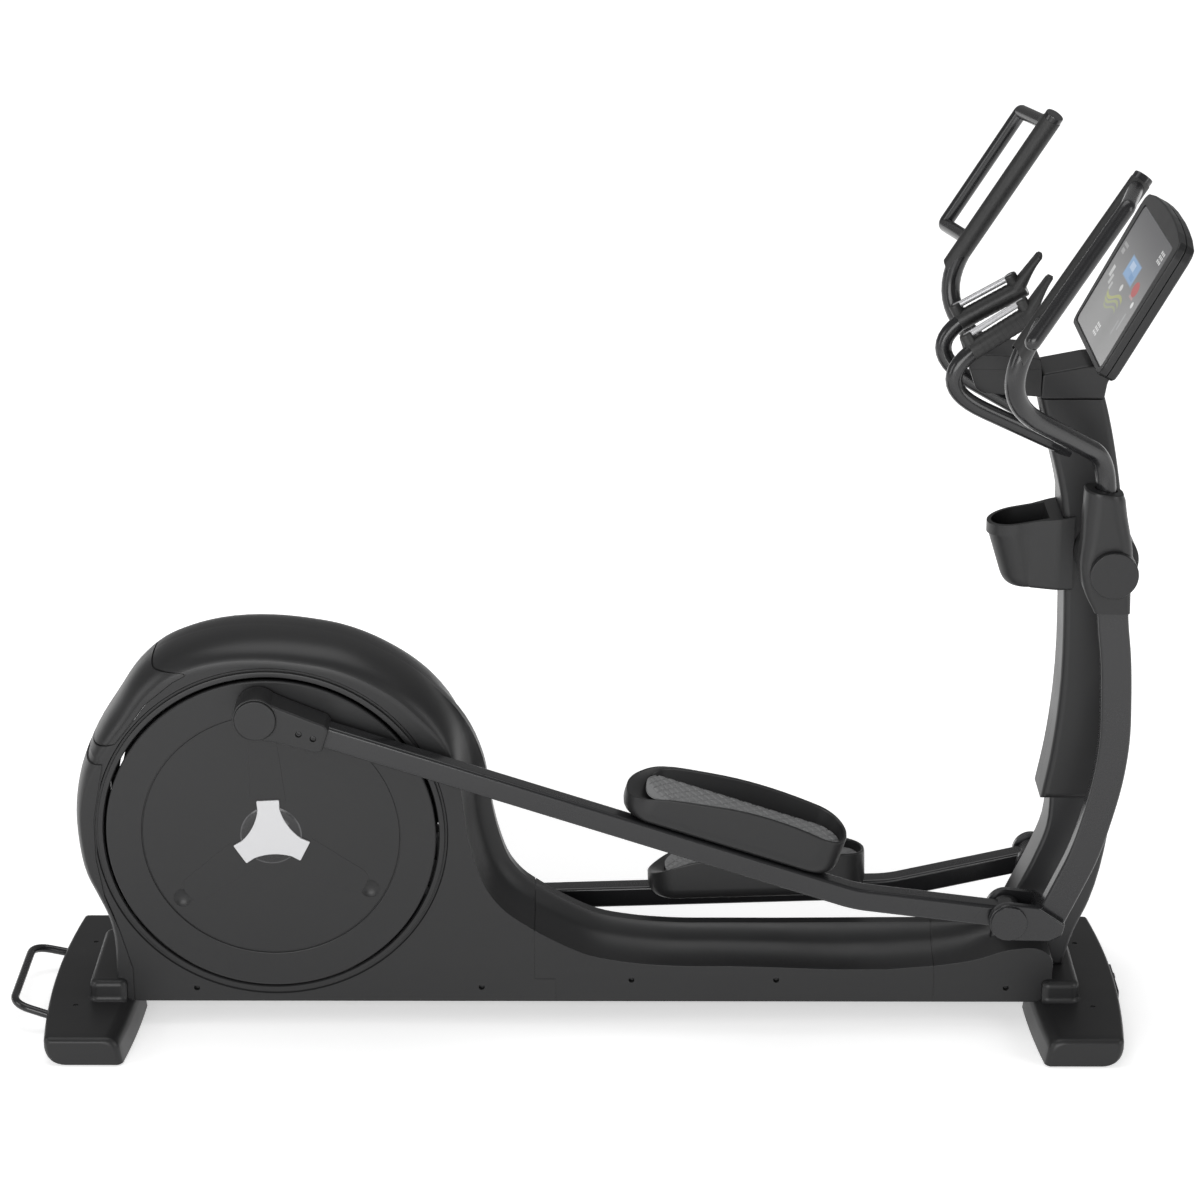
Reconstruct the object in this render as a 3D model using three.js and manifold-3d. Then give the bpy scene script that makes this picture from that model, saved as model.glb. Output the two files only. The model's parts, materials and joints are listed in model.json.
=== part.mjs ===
// Elliptical cross trainer with moving arms, rear flywheel drive and a tilted console.
// Millimetres. +X points to the console, +Z is up, the user's right side is at -Y.
import * as THREE from 'three';
import { mergeVertices } from 'three/addons/utils/BufferGeometryUtils.js';
import Module from 'manifold-3d';

const wasm = await Module();
wasm.setup();

// ---------------------------------------------------------------- driving dimensions
const fit = 0.3;                       // clearance between neighbouring pieces
const wall = 3.5;                      // thickness of the moulded covers
const tubeWall = 3;                    // thickness of the steel tubes of the arms
const degree = Math.PI / 180;

const axle = { x: -575, z: 402, radius: 15 };
const crank = { radius: 262, restAngle: 93.2 * degree, inner: 88, thick: 15.7, halfWidth: 24, hubHalf: 30 };
const disc = {
  radius: 311, thick: 12, face: 116, gap: 5, stepRadius: 244, step: 2, dimple: 215,
  dimpleTurn: 124 * degree,
};
const hubPlate = { reach: 66, tipHalf: 21, waist: 25, thick: 4 };

const pivot = { x: 973, z: 954, radius: 20, bossRadius: 56, bossReach: 124 };
const swing = { length: 715, inner: 141, outer: 175, width: 56 };
const sleeve = { inner: 125, outer: 199, capRadius: 44, capThick: 13 };
const fork = { radius: 37, inner: 106, outer: 190, cheek: 14, pin: 12, capRadius: 34, capThick: 6 };
const arm = { inner: 130, outer: 170, height: 43, rear: 1175, front: 289, bend: 11 * degree, round: 6 };
const armEnd = { length: 135, radius: 42, inner: 121, outer: 187, capRadius: 38, capThick: 6, pin: 17,
  pinEnd: 117.5 };
const armBoss = { radius: 29, inner: 125, outer: 171 };

const pedal = { start: 700, end: 1125, inner: 50, outer: 177, corner: 58, wall: 7, floor: 76.7, top: 125,
  under: 30 };
// Height of the pedal rim above the arm, by distance from the crank pin: [distance, outer edge, inner edge].
const rim = [[680, 52, 66], [720, 68, 84], [753, 80, 97], [836, 95, 112], [911, 106, 120], [1030, 106, 119],
  [1096, 98, 112], [1150, 95, 100]];
const tread = { thick: 5 };

const handle = { lowRadius: 18, loopRadius: 13.5, lowBend: 83, highBend: 133 };
const handleRun = [[-35, 162, 100], [-69, 161, 200], [-337, 376, 319], [-162.5, 266, 730]];
const loopRun = [[-171.5, 272, 709], [-206.5, 418, 700], [-312.5, 485, 450], [-277.5, 339, 459]];

const shroud = { half: 108, bottom: 52, ridgeHalf: 13, shoulder: 46, cove: 42, coveStart: 5 };
const ring = { width: 15, rise: 4 };
const beam = { half: 30, bottom: 48.3, top: 98, wall: 4, rear: -884, front: 938 };

const crossTube = { half: 27, length: 250, bottom: 15, top: 48, wall: 3 };
const foot = {
  rearX: -937, frontX: 966, halfWidth: 61, halfLength: crossTube.length + 29, bow: 17, tip: 57, crown: 60,
  clear: 3,
  lean: 0.45, screwX: 20, screwY: 140,
};
const saddle = { inner: 4, half: 124, top: 100, corner: 30, round: 28 };
const leveller = { y: crossTube.length - 24, radius: 22, pad: 8, neck: 9 };
const pull = { radius: 8, rearX: -1080, half: 128, rearZ: 56, rootX: -1012, rootHalf: 137, rootZ: 37,
  bend: 42 };
const wheel = { radius: 24, width: 20, y: 186, x: foot.frontX + crossTube.half + 17, z: 31, axle: 4,
  room: 3 };

const mast = { half: 57, postHalf: 42, bottom: 452, top: 1240, edge: 14 };
const cup = { rear: 765, half: 52, front: 917, collarHalf: 66, bottom: 874, rearTop: 991, frontTop: 1018,
  floor: 10, wall: 5 };
const bar = { radius: 15.5, bend: 76, sleeve: 18.5, sensor: 6, rise: 28.5 };
const horn = { top: 17, long: 24, thick: 9 };
const pod = { half: 60, seam: 1298 };
const screen = { width: 334, height: 246, thick: 3, corner: 12 };
const consoleBody = { x: 935, z: 1332, tilt: 28.3 * degree, front: 14, depth: 31 };
const flywheel = { x: -290, z: 262, radius: 108, half: 20, axle: 10 };
const pulley = { radius: 165, small: 30, y: 66, width: 18, belt: 3, beltWidth: 13 };
const driveFrame = { inner: 42, plate: 8 };

// ---------------------------------------------------------------- finishes
const finish = (color, roughness, metalness = 0) => () => new THREE.MeshStandardMaterial({ color,
  roughness, metalness });
const finishes = {
  shell: finish(0x232425, 0.42),
  gloss: finish(0x18191a, 0.22),
  paint: finish(0x161718, 0.3, 0.2),
  steel: finish(0x8d9296, 0.35, 0.9),
  plate: finish(0xc9ccce, 0.35, 0.8),
  rubber: finish(0x1a1a1a, 0.8),
  tread: finish(0x55585a, 0.75),
  glass: finish(0x8a8f93, 0.12),
  grip: finish(0x1c1c1d, 0.65),
  cast: finish(0x4a4d50, 0.5, 0.7),
};

// ---------------------------------------------------------------- geometry helpers
function solid(geometry) {
  const bare = new THREE.BufferGeometry();
  bare.setAttribute('position', geometry.getAttribute('position').clone());
  if (geometry.index) bare.setIndex(geometry.index.clone());
  const merged = mergeVertices(bare, 1e-4);
  const index = merged.index.array;
  const triangles = [];
  for (let i = 0; i < index.length; i += 3) {
    const [a, b, c] = [index[i], index[i + 1], index[i + 2]];
    if (a !== b && b !== c && c !== a) triangles.push(a, b, c);
  }
  const vertProperties = new Float32Array(merged.getAttribute('position').array);
  return new wasm.Manifold(new wasm.Mesh({ numProp: 3, vertProperties,
    triVerts: new Uint32Array(triangles) }));
}

const union = (...bodies) => bodies.flat().reduce((sum, body) => sum.add(body));
const cut = (body, ...tools) => tools.flat().reduce((rest, tool) => rest.subtract(tool), body);

function geometryOf(body) {
  const { vertProperties, triVerts, numProp } = body.getMesh();
  const positions = new Float32Array((vertProperties.length / numProp) * 3);
  for (let i = 0; i < positions.length / 3; i += 1) {
    for (let k = 0; k < 3; k += 1) positions[3 * i + k] = vertProperties[numProp * i + k];
  }
  const geometry = new THREE.BufferGeometry();
  geometry.setAttribute('position', new THREE.BufferAttribute(positions, 3));
  geometry.setIndex(Array.from(triVerts));
  geometry.computeVertexNormals();
  return geometry;
}

function outline(points) {
  return new THREE.Shape(points.map(([x, y]) => new THREE.Vector2(x, y)));
}

function circle(x, y, radius) {
  return new THREE.Shape().absarc(x, y, radius, 0, 2 * Math.PI, false);
}

function roundedRectangle(x0, y0, x1, y1, radius) {
  const shape = new THREE.Shape();
  shape.absarc(x1 - radius, y1 - radius, radius, 0, Math.PI / 2, false);
  shape.absarc(x0 + radius, y1 - radius, radius, Math.PI / 2, Math.PI, false);
  shape.absarc(x0 + radius, y0 + radius, radius, Math.PI, 1.5 * Math.PI, false);
  shape.absarc(x1 - radius, y0 + radius, radius, 1.5 * Math.PI, 2 * Math.PI, false);
  return shape;
}

// An extrusion whose outline is inset by `inset`, with both ends rounded over `round` [depth, size].
function extrude(shape, length, { round = [0, 0], inset = 0, segments = 6, roundSegments = 2 } = {}) {
  const [depth, size] = round;
  return new THREE.ExtrudeGeometry(shape, {
    depth: length - 2 * depth,
    bevelEnabled: depth > 0 || inset !== 0,
    bevelThickness: depth,
    bevelSize: size,
    bevelOffset: -size - inset,
    bevelSegments: depth > 0 ? roundSegments : 1,
    curveSegments: segments,
  }).translate(0, 0, depth);
}

// Outline in X and Z, thickness along Y from yFrom to yTo.
function plateXZ(shape, yFrom, yTo, options) {
  return solid(extrude(shape, yTo - yFrom, options).rotateX(Math.PI / 2).translate(0, yTo, 0));
}

// Outline in Y and Z, length along X from xFrom to xTo.
function barYZ(shape, xFrom, xTo, options) {
  const turn = new THREE.Matrix4().makeBasis(
    new THREE.Vector3(0, 1, 0), new THREE.Vector3(0, 0, 1), new THREE.Vector3(1, 0, 0),
  );
  return solid(extrude(shape, xTo - xFrom, options).applyMatrix4(turn).translate(xFrom, 0, 0));
}

// Outline in X and Y, height along Z from zFrom to zTo.
function slabXY(shape, zFrom, zTo, options) {
  return solid(extrude(shape, zTo - zFrom, options).translate(0, 0, zFrom));
}

function box(x0, x1, y0, y1, z0, z1) {
  return solid(new THREE.BoxGeometry(x1 - x0, y1 - y0, z1 - z0)
    .translate((x0 + x1) / 2, (y0 + y1) / 2, (z0 + z1) / 2));
}

function rod(x, z, radius, yFrom, yTo, sides = 18) {
  return solid(new THREE.CylinderGeometry(radius, radius, yTo - yFrom, sides).translate(x,
    (yFrom + yTo) / 2, z));
}

// Radius of a faceted bore whose flats clear a shaft of this radius at every angle.
function boreRadius(radius, sides = 18) {
  return (radius + fit) / Math.cos(Math.PI / sides);
}

function post(x, y, radius, zFrom, zTo, sides = 12) {
  return solid(new THREE.CylinderGeometry(radius, radius, zTo - zFrom, sides)
    .rotateX(Math.PI / 2).translate(x, y, (zFrom + zTo) / 2));
}

// A path of straight runs joined by smooth corners, given as [x, y, z] points and one radius per corner.
function bentPath(points, radii) {
  const stops = points.map((point) => new THREE.Vector3(...point));
  const path = new THREE.CurvePath();
  let from = stops[0];
  for (let i = 1; i < stops.length - 1; i += 1) {
    const back = stops[i - 1].clone().sub(stops[i]).normalize();
    const ahead = stops[i + 1].clone().sub(stops[i]).normalize();
    const reach = radii[i - 1] / Math.tan(back.angleTo(ahead) / 2);
    const enter = stops[i].clone().addScaledVector(back, reach);
    const leave = stops[i].clone().addScaledVector(ahead, reach);
    path.add(new THREE.LineCurve3(from, enter));
    path.add(new THREE.QuadraticBezierCurve3(enter, stops[i], leave));
    from = leave;
  }
  path.add(new THREE.LineCurve3(from, stops[stops.length - 1]));
  return path;
}

function tube(points, radii, radius, step, sides = 5) {
  const path = points.length > 2 ? bentPath(points, radii) : new THREE.LineCurve3(
    new THREE.Vector3(...points[0]), new THREE.Vector3(...points[1]),
  );
  const steps = points.length > 2 ? Math.max(2, Math.round(path.getLength() / step)) : 1;
  return solid(new THREE.ExtrudeGeometry(circle(0, 0, radius), {
    steps, extrudePath: path, bevelEnabled: false, curveSegments: sides,
  }));
}

// A band of constant width along a run of [x, z] points, smoothed by a spline.
function ribbon(points, width, divisions) {
  const curve = new THREE.SplineCurve(points.map(([x, z]) => new THREE.Vector2(x, z)));
  const left = [];
  const right = [];
  for (let i = 0; i <= divisions; i += 1) {
    const at = curve.getPointAt(i / divisions);
    const along = curve.getTangentAt(i / divisions);
    left.push([at.x - along.y * width / 2, at.y + along.x * width / 2]);
    right.unshift([at.x + along.y * width / 2, at.y - along.x * width / 2]);
  }
  return outline([...right.reverse(), ...left.reverse()]);
}

function smoothRun(points, divisions) {
  const curve = new THREE.SplineCurve(points.map(([x, z]) => new THREE.Vector2(x, z)));
  return curve.getSpacedPoints(divisions).map((point) => [point.x, point.y]);
}

const root = new THREE.Group();

function place(name, body, look, parent = root) {
  const mesh = new THREE.Mesh(geometryOf(body), finishes[look]());
  mesh.name = name;
  parent.add(mesh);
  return mesh;
}

const mirror = (body, side) => (side < 0 ? body : body.mirror([0, 1, 0]));
const sides = [['right', -1], ['left', 1]];

// A closed body stacked along Y from XZ rings that all have the same number of points.
function stack(rings, levels) {
  const count = rings[0].length;
  const positions = [];
  rings.forEach((ring_, j) => ring_.forEach(([x, z]) => positions.push(x, levels[j], z)));
  const index = [];
  for (let j = 0; j < rings.length - 1; j += 1) {
    for (let i = 0; i < count; i += 1) {
      const a = j * count + i;
      const b = j * count + ((i + 1) % count);
      index.push(a, a + count, b + count, a, b + count, b);
    }
  }
  const cap = (level) => THREE.ShapeUtils.triangulateShape(level.map(([x, z]) => new THREE.Vector2(x, z)),
    []);
  cap(rings[0]).forEach(([a, b, c]) => index.push(a, b, c));
  const last = (rings.length - 1) * count;
  cap(rings[rings.length - 1]).forEach(([a, b, c]) => index.push(last + a, last + c, last + b));
  const geometry = new THREE.BufferGeometry();
  geometry.setAttribute('position', new THREE.Float32BufferAttribute(positions, 3));
  geometry.setIndex(index);
  return solid(geometry);
}

// ---------------------------------------------------------------- linkage at rest
// Each side's crank pin, pedal arm, lower pivot and swing arm form a four-bar linkage in the XZ plane.
const bendPoint = [-arm.front * Math.cos(arm.bend), -arm.front * Math.sin(arm.bend)];
const pinPoint = [bendPoint[0] - arm.rear, bendPoint[1]];

function restPose(crankAngle) {
  const pin = { x: axle.x + crank.radius * Math.cos(crankAngle),
    z: axle.z + crank.radius * Math.sin(crankAngle) };
  const chord = { length: Math.hypot(...pinPoint), angle: Math.atan2(-pinPoint[1], -pinPoint[0]) };
  const dx = pivot.x - pin.x;
  const dz = pivot.z - pin.z;
  const distance = Math.hypot(dx, dz);
  const along = (chord.length ** 2 - swing.length ** 2 + distance ** 2) / (2 * distance);
  const across = Math.sqrt(chord.length ** 2 - along ** 2);
  const lower = {
    x: pin.x + (dx * along + dz * across) / distance,
    z: pin.z + (dz * along - dx * across) / distance,
  };
  return {
    pin,
    lower,
    armAngle: Math.atan2(lower.z - pin.z, lower.x - pin.x) - chord.angle,
    swingAngle: Math.atan2(lower.x - pivot.x, pivot.z - lower.z),
  };
}

const rest = { right: restPose(crank.restAngle), left: restPose(crank.restAngle + Math.PI) };

// ---------------------------------------------------------------- steel frame
function baseBeam() {
  const x0 = foot.rearX - crossTube.half;
  const x1 = foot.frontX + crossTube.half;
  const bore = beam.half - beam.wall;
  const tongue = beam.bottom + beam.wall;
  const overTongues = [[x0 - 1, beam.rear], [beam.front, x1 + 1]].map(([from, to]) => (
    box(from, to, -beam.half - 1, beam.half + 1, tongue, beam.top + 1)));
  return cut(box(x0, x1, -beam.half, beam.half, beam.bottom, beam.top),
    box(x0 - 1, x1 + 1, -bore, bore, tongue, beam.top - beam.wall), overTongues);
}

function crossTubeAt(x) {
  const { half, length, bottom, top } = crossTube;
  const bore = half - crossTube.wall;
  return cut(box(x - half, x + half, -length, length, bottom, top),
    box(x - bore, x + bore, -length - 1, length + 1, bottom + crossTube.wall, top - crossTube.wall));
}

function frontCrossTube() {
  const cheeks = [];
  for (const side of [-1, 1]) {
    for (const edge of [-1, 1]) {
      const y = side * wheel.y + edge * (wheel.width / 2 + 2.5);
      cheeks.push(box(foot.frontX + crossTube.half - 2, wheel.x + 8, y - 1.5, y + 1.5, wheel.z - 8,
        wheel.z + 8));
    }
  }
  const bores = [-1, 1].map((side) => rod(wheel.x, wheel.z, boreRadius(wheel.axle), side * wheel.y - 20,
    side * wheel.y + 20));
  const wells = [-1, 1].map((side) => rod(wheel.x, wheel.z, wheel.radius + 1.5,
    side * wheel.y - wheel.width / 2 - 0.7, side * wheel.y + wheel.width / 2 + 0.7));
  return cut(union(cut(crossTubeAt(foot.frontX), wells), cheeks), bores);
}

function levellingFoot(x, y) {
  const pad = post(x, y, leveller.radius, 0, leveller.pad - 2);
  const shoulder = post(x, y, leveller.radius - 4, leveller.pad - 3, leveller.pad);
  return union(pad, shoulder, post(x, y, leveller.neck, leveller.pad - 2, crossTube.bottom - fit));
}

// The mast's outlines: the visible cover above, the steel post below and inside it.
const coverRear = [[877, 461], [893, 533], [905, 654], [904, 873], [892, 1048], [866, 1154], [838, 1264]];
const coverFront = [[957, 1264], [973, 1206], [997, 1087], [1015, 940], [1023, 800], [1026, 620],
  [1025, 452]];
const coverOutline = () => outline([
  ...smoothRun([[879, mast.bottom], ...coverRear.slice(1)], 5), ...smoothRun(coverFront, 5),
]);

function postOutline(extra) {
  const rear = smoothRun([[768, beam.top + fit], [835, 243], [873, 327], [894, 389], [899, 470],
    [913, 654], [912, 873],
    [903, 1040], [886, 1140], [868, 1240]], 8).map(([x, z]) => [x - extra, z]);
  const front = smoothRun([[930, 1240], [957, 1180], [981, 1080], [1001, 940], [1009, 800], [1016, 620],
    [1019, 452],
    [1012, 369], [983, 233], [957, 170], [937, beam.top + fit]], 9).map(([x, z]) => [x + extra, z]);
  return outline([...rear, ...front]);
}

function mastPost() {
  const outer = plateXZ(postOutline(0), -mast.postHalf, mast.postHalf, { round: [8, 8], roundSegments: 1 });
  const shaft = rod(pivot.x, pivot.z, pivot.radius + fit, -60, 60, 18);
  const inner = plateXZ(postOutline(-6), 6 - mast.postHalf, mast.postHalf - 6);
  const roof = box(884, 918, 6 - mast.postHalf, mast.postHalf - 6, 1150, 1300);
  const floor = box(600, 1100, -60, 60, 0, beam.top + 8);
  const flange = box(790, 930, -mast.postHalf + 1, mast.postHalf - 1, beam.top + fit, beam.top + 8);
  const sleeveTube = cut(rod(pivot.x, pivot.z, pivot.radius + 6, 2 - mast.postHalf, mast.postHalf - 2, 18),
    shaft);
  const hollow = cut(union(inner, roof), floor);
  const shell = cut(outer, hollow, shaft);
  const level = cut(shell, box(600, 1100, -60, 60, 0, beam.top + fit));
  return union(level, flange, sleeveTube);
}

// ---------------------------------------------------------------- feet
function footBody(x, direction, grow) {
  const half = foot.halfLength + grow;
  const edge = foot.halfWidth + foot.bow + grow;
  const side = [[half, -30], [half, foot.tip - 16 + grow], [half - 5, foot.tip - 5 + grow],
    [half - 18, foot.tip + grow]];
  const profile = [...side, [66, foot.crown + grow]];
  const mirrored = profile.map(([y, z]) => [-y, z]).reverse();
  const block = barYZ(outline([...profile, ...mirrored]), -edge, edge,
    { round: [15, 11], roundSegments: 1 });
  const [near, far] = direction > 0 ? [-edge, grow - saddle.inner] : [saddle.inner - grow, edge];
  const rise = slabXY(roundedRectangle(near, -saddle.half - grow, far, saddle.half + grow,
    saddle.corner + grow),
    foot.tip - saddle.round, saddle.top + grow,
    { round: [saddle.round, saddle.round - 4], segments: 2, roundSegments: 2 });
  const plan = [];
  for (const end of [1, -1]) {
    for (let i = -4; i <= 4; i += 1) {
      plan.push([end * (foot.halfWidth + grow + foot.bow * (1 - (i / 4) ** 2)), end * (i / 4) * half]);
    }
  }
  const footprint = slabXY(outline(plan), foot.clear - (grow < 0 ? 20 : 0), 200);
  const geometry = geometryOf(union(block, rise).intersect(footprint));
  const position = geometry.getAttribute('position');
  for (let i = 0; i < position.count; i += 1) {
    const below = Math.min(0, position.getZ(i) - foot.tip);
    position.setX(i, position.getX(i) + x + direction * foot.lean * below);
  }
  return solid(geometry);
}

function footCover(x, direction) {
  const shell = cut(footBody(x, direction, 0), footBody(x, direction, -wall));
  const [beamEnd, beyond] = direction > 0 ? [beam.front + fit, x - 200] : [beam.rear - fit, x + 200];
  const passage = box(Math.min(beamEnd, beyond), Math.max(beamEnd, beyond), -beam.half - fit,
    beam.half + fit,
    0, beam.top + fit);
  const skin = cut(footBody(x, direction, 1), footBody(x, direction, -2));
  const screws = [-foot.screwY, foot.screwY].map((y) => post(x + direction * foot.screwX, y, 4, 40, 200,
    8));
  return cut(shell, passage, screws.map((screw) => screw.intersect(skin)));
}

function rearFootCover() {
  return cut(footCover(foot.rearX, -1), pullHandle(0.5));
}

const powerPanel = { front: 1047, half: 62, bottom: 14, top: 53, z: 33.5, inletY: -24, switchY: 26 };
const inlet = { half: 15, high: 12, socketHalf: 11, socketHigh: 8 };
const rocker = { half: 11, high: 12, room: 15 };

function frontFootCover() {
  const { front, half, bottom, top, z, inletY, switchY } = powerPanel;
  const panel = box(foot.frontX + 30, front, -half, half, bottom, top);
  const behind = box(foot.frontX + 20, front - wall, wall - half, half - wall, bottom + wall, top - wall);
  const opening = (y, wide, high) => box(foot.frontX, front + 1, y - wide, y + wide, z - high, z + high);
  const wells = [-1, 1].map((side) => {
    const [y0, y1] = [side * wheel.y - wheel.width / 2 - 6, side * wheel.y + wheel.width / 2 + 6];
    const reach = wheel.radius + wheel.room;
    return rod(wheel.x, wheel.z, reach, y0, y1,
      24).add(box(wheel.x - reach, wheel.x + reach, y0, y1, 0, wheel.z));
  });
  const shell = union(footCover(foot.frontX, 1), cut(panel, footBody(foot.frontX, 1, -wall)));
  return cut(shell, behind, opening(inletY, inlet.half, inlet.high),
    opening(switchY, rocker.half, rocker.room), wells,
    plateXZ(postOutline(fit + 0.4), -mast.postHalf - fit, mast.postHalf + fit));
}

function pullHandle(grow = 0) {
  const inner = foot.rearX - crossTube.half - fit;
  const run = [[inner, -pull.rootHalf, pull.rootZ], [pull.rootX, -pull.rootHalf, pull.rootZ],
    [pull.rearX, -pull.half, pull.rearZ], [pull.rearX, pull.half, pull.rearZ],
    [pull.rootX, pull.rootHalf, pull.rootZ], [inner, pull.rootHalf, pull.rootZ]];
  return tube(run, [8, pull.bend, pull.bend, 8], pull.radius + grow, 24, 4);
}

function transportWheel(side) {
  const y = side * wheel.y;
  const tyre = rod(wheel.x, wheel.z, wheel.radius, y - wheel.width / 2, y + wheel.width / 2, 20);
  const axleRod = rod(wheel.x, wheel.z, wheel.axle, y - wheel.width / 2 - 4, y + wheel.width / 2 + 4, 12);
  return union(tyre, axleRod);
}

// ---------------------------------------------------------------- shroud over the drive and the beam
// Outline points with how far the cove and the shoulder take them inwards at the sides.
const shroudRun = [
  // x, z, cove, shoulder
  [-880, 52, 0, 0], [910, 52, 0, 0],
  [910, 100, 0, 0], [908, 148, 0.05, 0], [890, 166, 0.1, 0], [830, 174, 0.25, 0], [760, 176, 0.75, 0],
  [690, 176, 1, 0], [290, 174, 1, 0], [180, 175, 1, 0], [100, 182, 1, 0],
  [40, 194, 1, 0], [-15, 219, 1, 0], [-72, 253, 1, 0], [-103, 276, 1, 0], [-127, 306, 1, 0],
  [-149, 364, 1, 0],
  [-160, 411, 1, 0], [-168, 465, 0.95, 0], [-178, 518, 0.8, 0.15], [-212, 597, 0.3, 0.6],
  [-268, 663, 0, 1], [-304, 696, 0, 1], [-344, 723, 0, 1], [-394, 749, 0, 1],
  [-448, 768, 0, 1], [-505, 779, 0, 1], [-575, 786, 0, 1], [-675, 780, 0, 1], [-732, 765, 0, 1],
  [-783, 742, 0, 1], [-829, 702, 0, 1], [-870, 642, 0, 0.9], [-911, 576, 0, 0.7], [-938, 511, 0, 0.55],
  [-949, 451, 0, 0.45], [-949, 380, 0, 0.45], [-937, 305, 0, 0.5], [-918, 261, 0, 0.5],
  [-901, 223, 0, 0.45],
  [-891, 180, 0, 0.4], [-886, 120, 0, 0.2],
];

function inwardNormals(points) {
  return points.map((_, i) => {
    const [ax, az] = points[(i + points.length - 1) % points.length];
    const [bx, bz] = points[(i + 1) % points.length];
    const size = Math.hypot(bx - ax, bz - az);
    return [-(bz - az) / size, (bx - ax) / size];
  });
}

function shroudBody(inset) {
  const normals = inwardNormals(shroudRun);
  const half = shroud.half - inset;
  const steps = inset > 0 ? [1, 0.64, 0.24] : [1, 0.95, 0.8, 0.58, 0.36, 0.22];
  const levels = [...steps.map((t) => t * half), shroud.ridgeHalf - inset - 2].map((y) => -y);
  const all = [...levels, ...levels.slice().reverse().map((y) => -y)];
  const coveWidth = shroud.half - shroud.ridgeHalf;
  const rings = all.map((y) => {
    const out = Math.min(1, Math.max(0, (Math.abs(y) + inset - shroud.ridgeHalf) / coveWidth));
    const drop = Math.abs(y) < shroud.ridgeHalf - inset - 1 ? 0
      : shroud.coveStart + shroud.cove * Math.sqrt(1 - (1 - out) ** 2);
    const round = shroud.shoulder * (1 - Math.sqrt(1 - Math.min(1, Math.abs(y) / half) ** 2.6));
    return shroudRun.map(([x, z, cove, shoulder], i) => {
      const depth = cove * (drop + 2 * inset) + shoulder * round + inset;
      const open = inset > 0 && z < shroud.bottom + 1;
      return open ? [x, z - 20] : [x + normals[i][0] * depth, z + normals[i][1] * depth];
    });
  });
  return stack(rings, all);
}

function insertZone(grow) {
  const low = 590 - grow;
  return plateXZ(outline([[-1000, low], [-862, low], [-846, 640 - grow], [-800, 700 - grow],
    [-766 + grow, 716],
    [-742 + grow, 745], [-772 + grow, 860], [-1000, 860]]), -200, 200);
}

function capZone(grow) {
  return plateXZ(outline([[-1000, 590 - fit + grow], [-894 + grow, 590 - fit + grow], [-907 + grow, 530],
    [-915 + grow, 450], [-915 + grow, 350], [-900 + grow, 270], [-868 + grow, 200], [-846 + grow, 120],
    [-846 + grow, 0], [-1000, 0]]), -200, 200);
}

function shroudShell() {
  const skin = cut(shroudBody(0), shroudBody(wall));
  const rings = [-1, 1].map((side) => mirror(plateXZ(circle(axle.x, axle.z,
    disc.radius + disc.gap + ring.width),
    -shroud.half - ring.rise, -shroud.half + wall, { round: [2, 2], segments: 24, roundSegments: 1 }),
    side));
  const bore = rod(axle.x, axle.z, disc.radius + disc.gap, -150, 150, 48);
  const posts = plateXZ(postOutline(fit + 0.4), -mast.postHalf - fit, mast.postHalf + fit);
  const feet = [footBody(foot.rearX, -1, fit), footBody(foot.frontX, 1, fit)];
  const beamSpace = box(-980, 1000, -beam.half - 1, beam.half + 1, 0, beam.top + 1);
  return cut(union(skin, rings), bore, posts, feet, beamSpace);
}

function shroudPieces() {
  const shell = shroudShell();
  const half = (side) => (side < 0 ? box(-1100, 1100, -150, -fit / 2, 0, 900) : box(-1100, 1100, fit / 2,
    150, 0, 900));
  const sidePiece = (side) => cut(shell.intersect(half(side)), insertZone(0), capZone(0), screwHoles(side));
  return {
    right: sidePiece(-1),
    left: sidePiece(1),
    insert: shell.intersect(insertZone(-fit)),
    cap: shell.intersect(capZone(-fit)),
  };
}

function screwHoles(side) {
  const spots = [[-728, 80], [-182, 82], [105, 98], [382, 98], [822, 82]];
  return spots.map(([x, z]) => mirror(rod(x, z, 4, -shroud.half - 1, -shroud.half + 2, 6), side));
}

// ---------------------------------------------------------------- drive
function driveFramePlates() {
  const shape = outline([[-680, beam.top + fit], [-230, beam.top + fit], [-225, 300], [-262, 322],
    [-330, 330],
    [-470, 420], [-520, 452], [-575, 462], [-622, 445], [-640, 402], [-652, 250]]);
  const window = outline([[-620, 150], [-430, 150], [-430, 250], [-500, 330], [-600, 320]]);
  const plates = [-1, 1].map((side) => mirror(plateXZ(shape, -driveFrame.inner - driveFrame.plate,
    -driveFrame.inner), side));
  const windows = plateXZ(window, -100, 100);
  const bars = [[-660, 112], [-250, 112]].map(([x, z]) => box(x - 12, x + 12, -45, 45, z - 13.7 + fit,
    z + 12));
  const stays = [[-640, 200], [-300, 390]].map(([x, z]) => rod(x, z, 8, -shroud.half + wall + fit,
    shroud.half - wall - fit, 12));
  const bores = [rod(axle.x, axle.z, boreRadius(axle.radius, 16), -100, 100, 16),
    rod(flywheel.x, flywheel.z, boreRadius(flywheel.axle, 12), -100, 100, 12)];
  const bearings = [-1, 1].map((side) => mirror(rod(axle.x, axle.z, 34,
    -driveFrame.inner - driveFrame.plate - 5,
    -driveFrame.inner + 8, 12), side));
  return cut(union(cut(union(...plates), windows), bars, bearings), bores);
}

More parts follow.
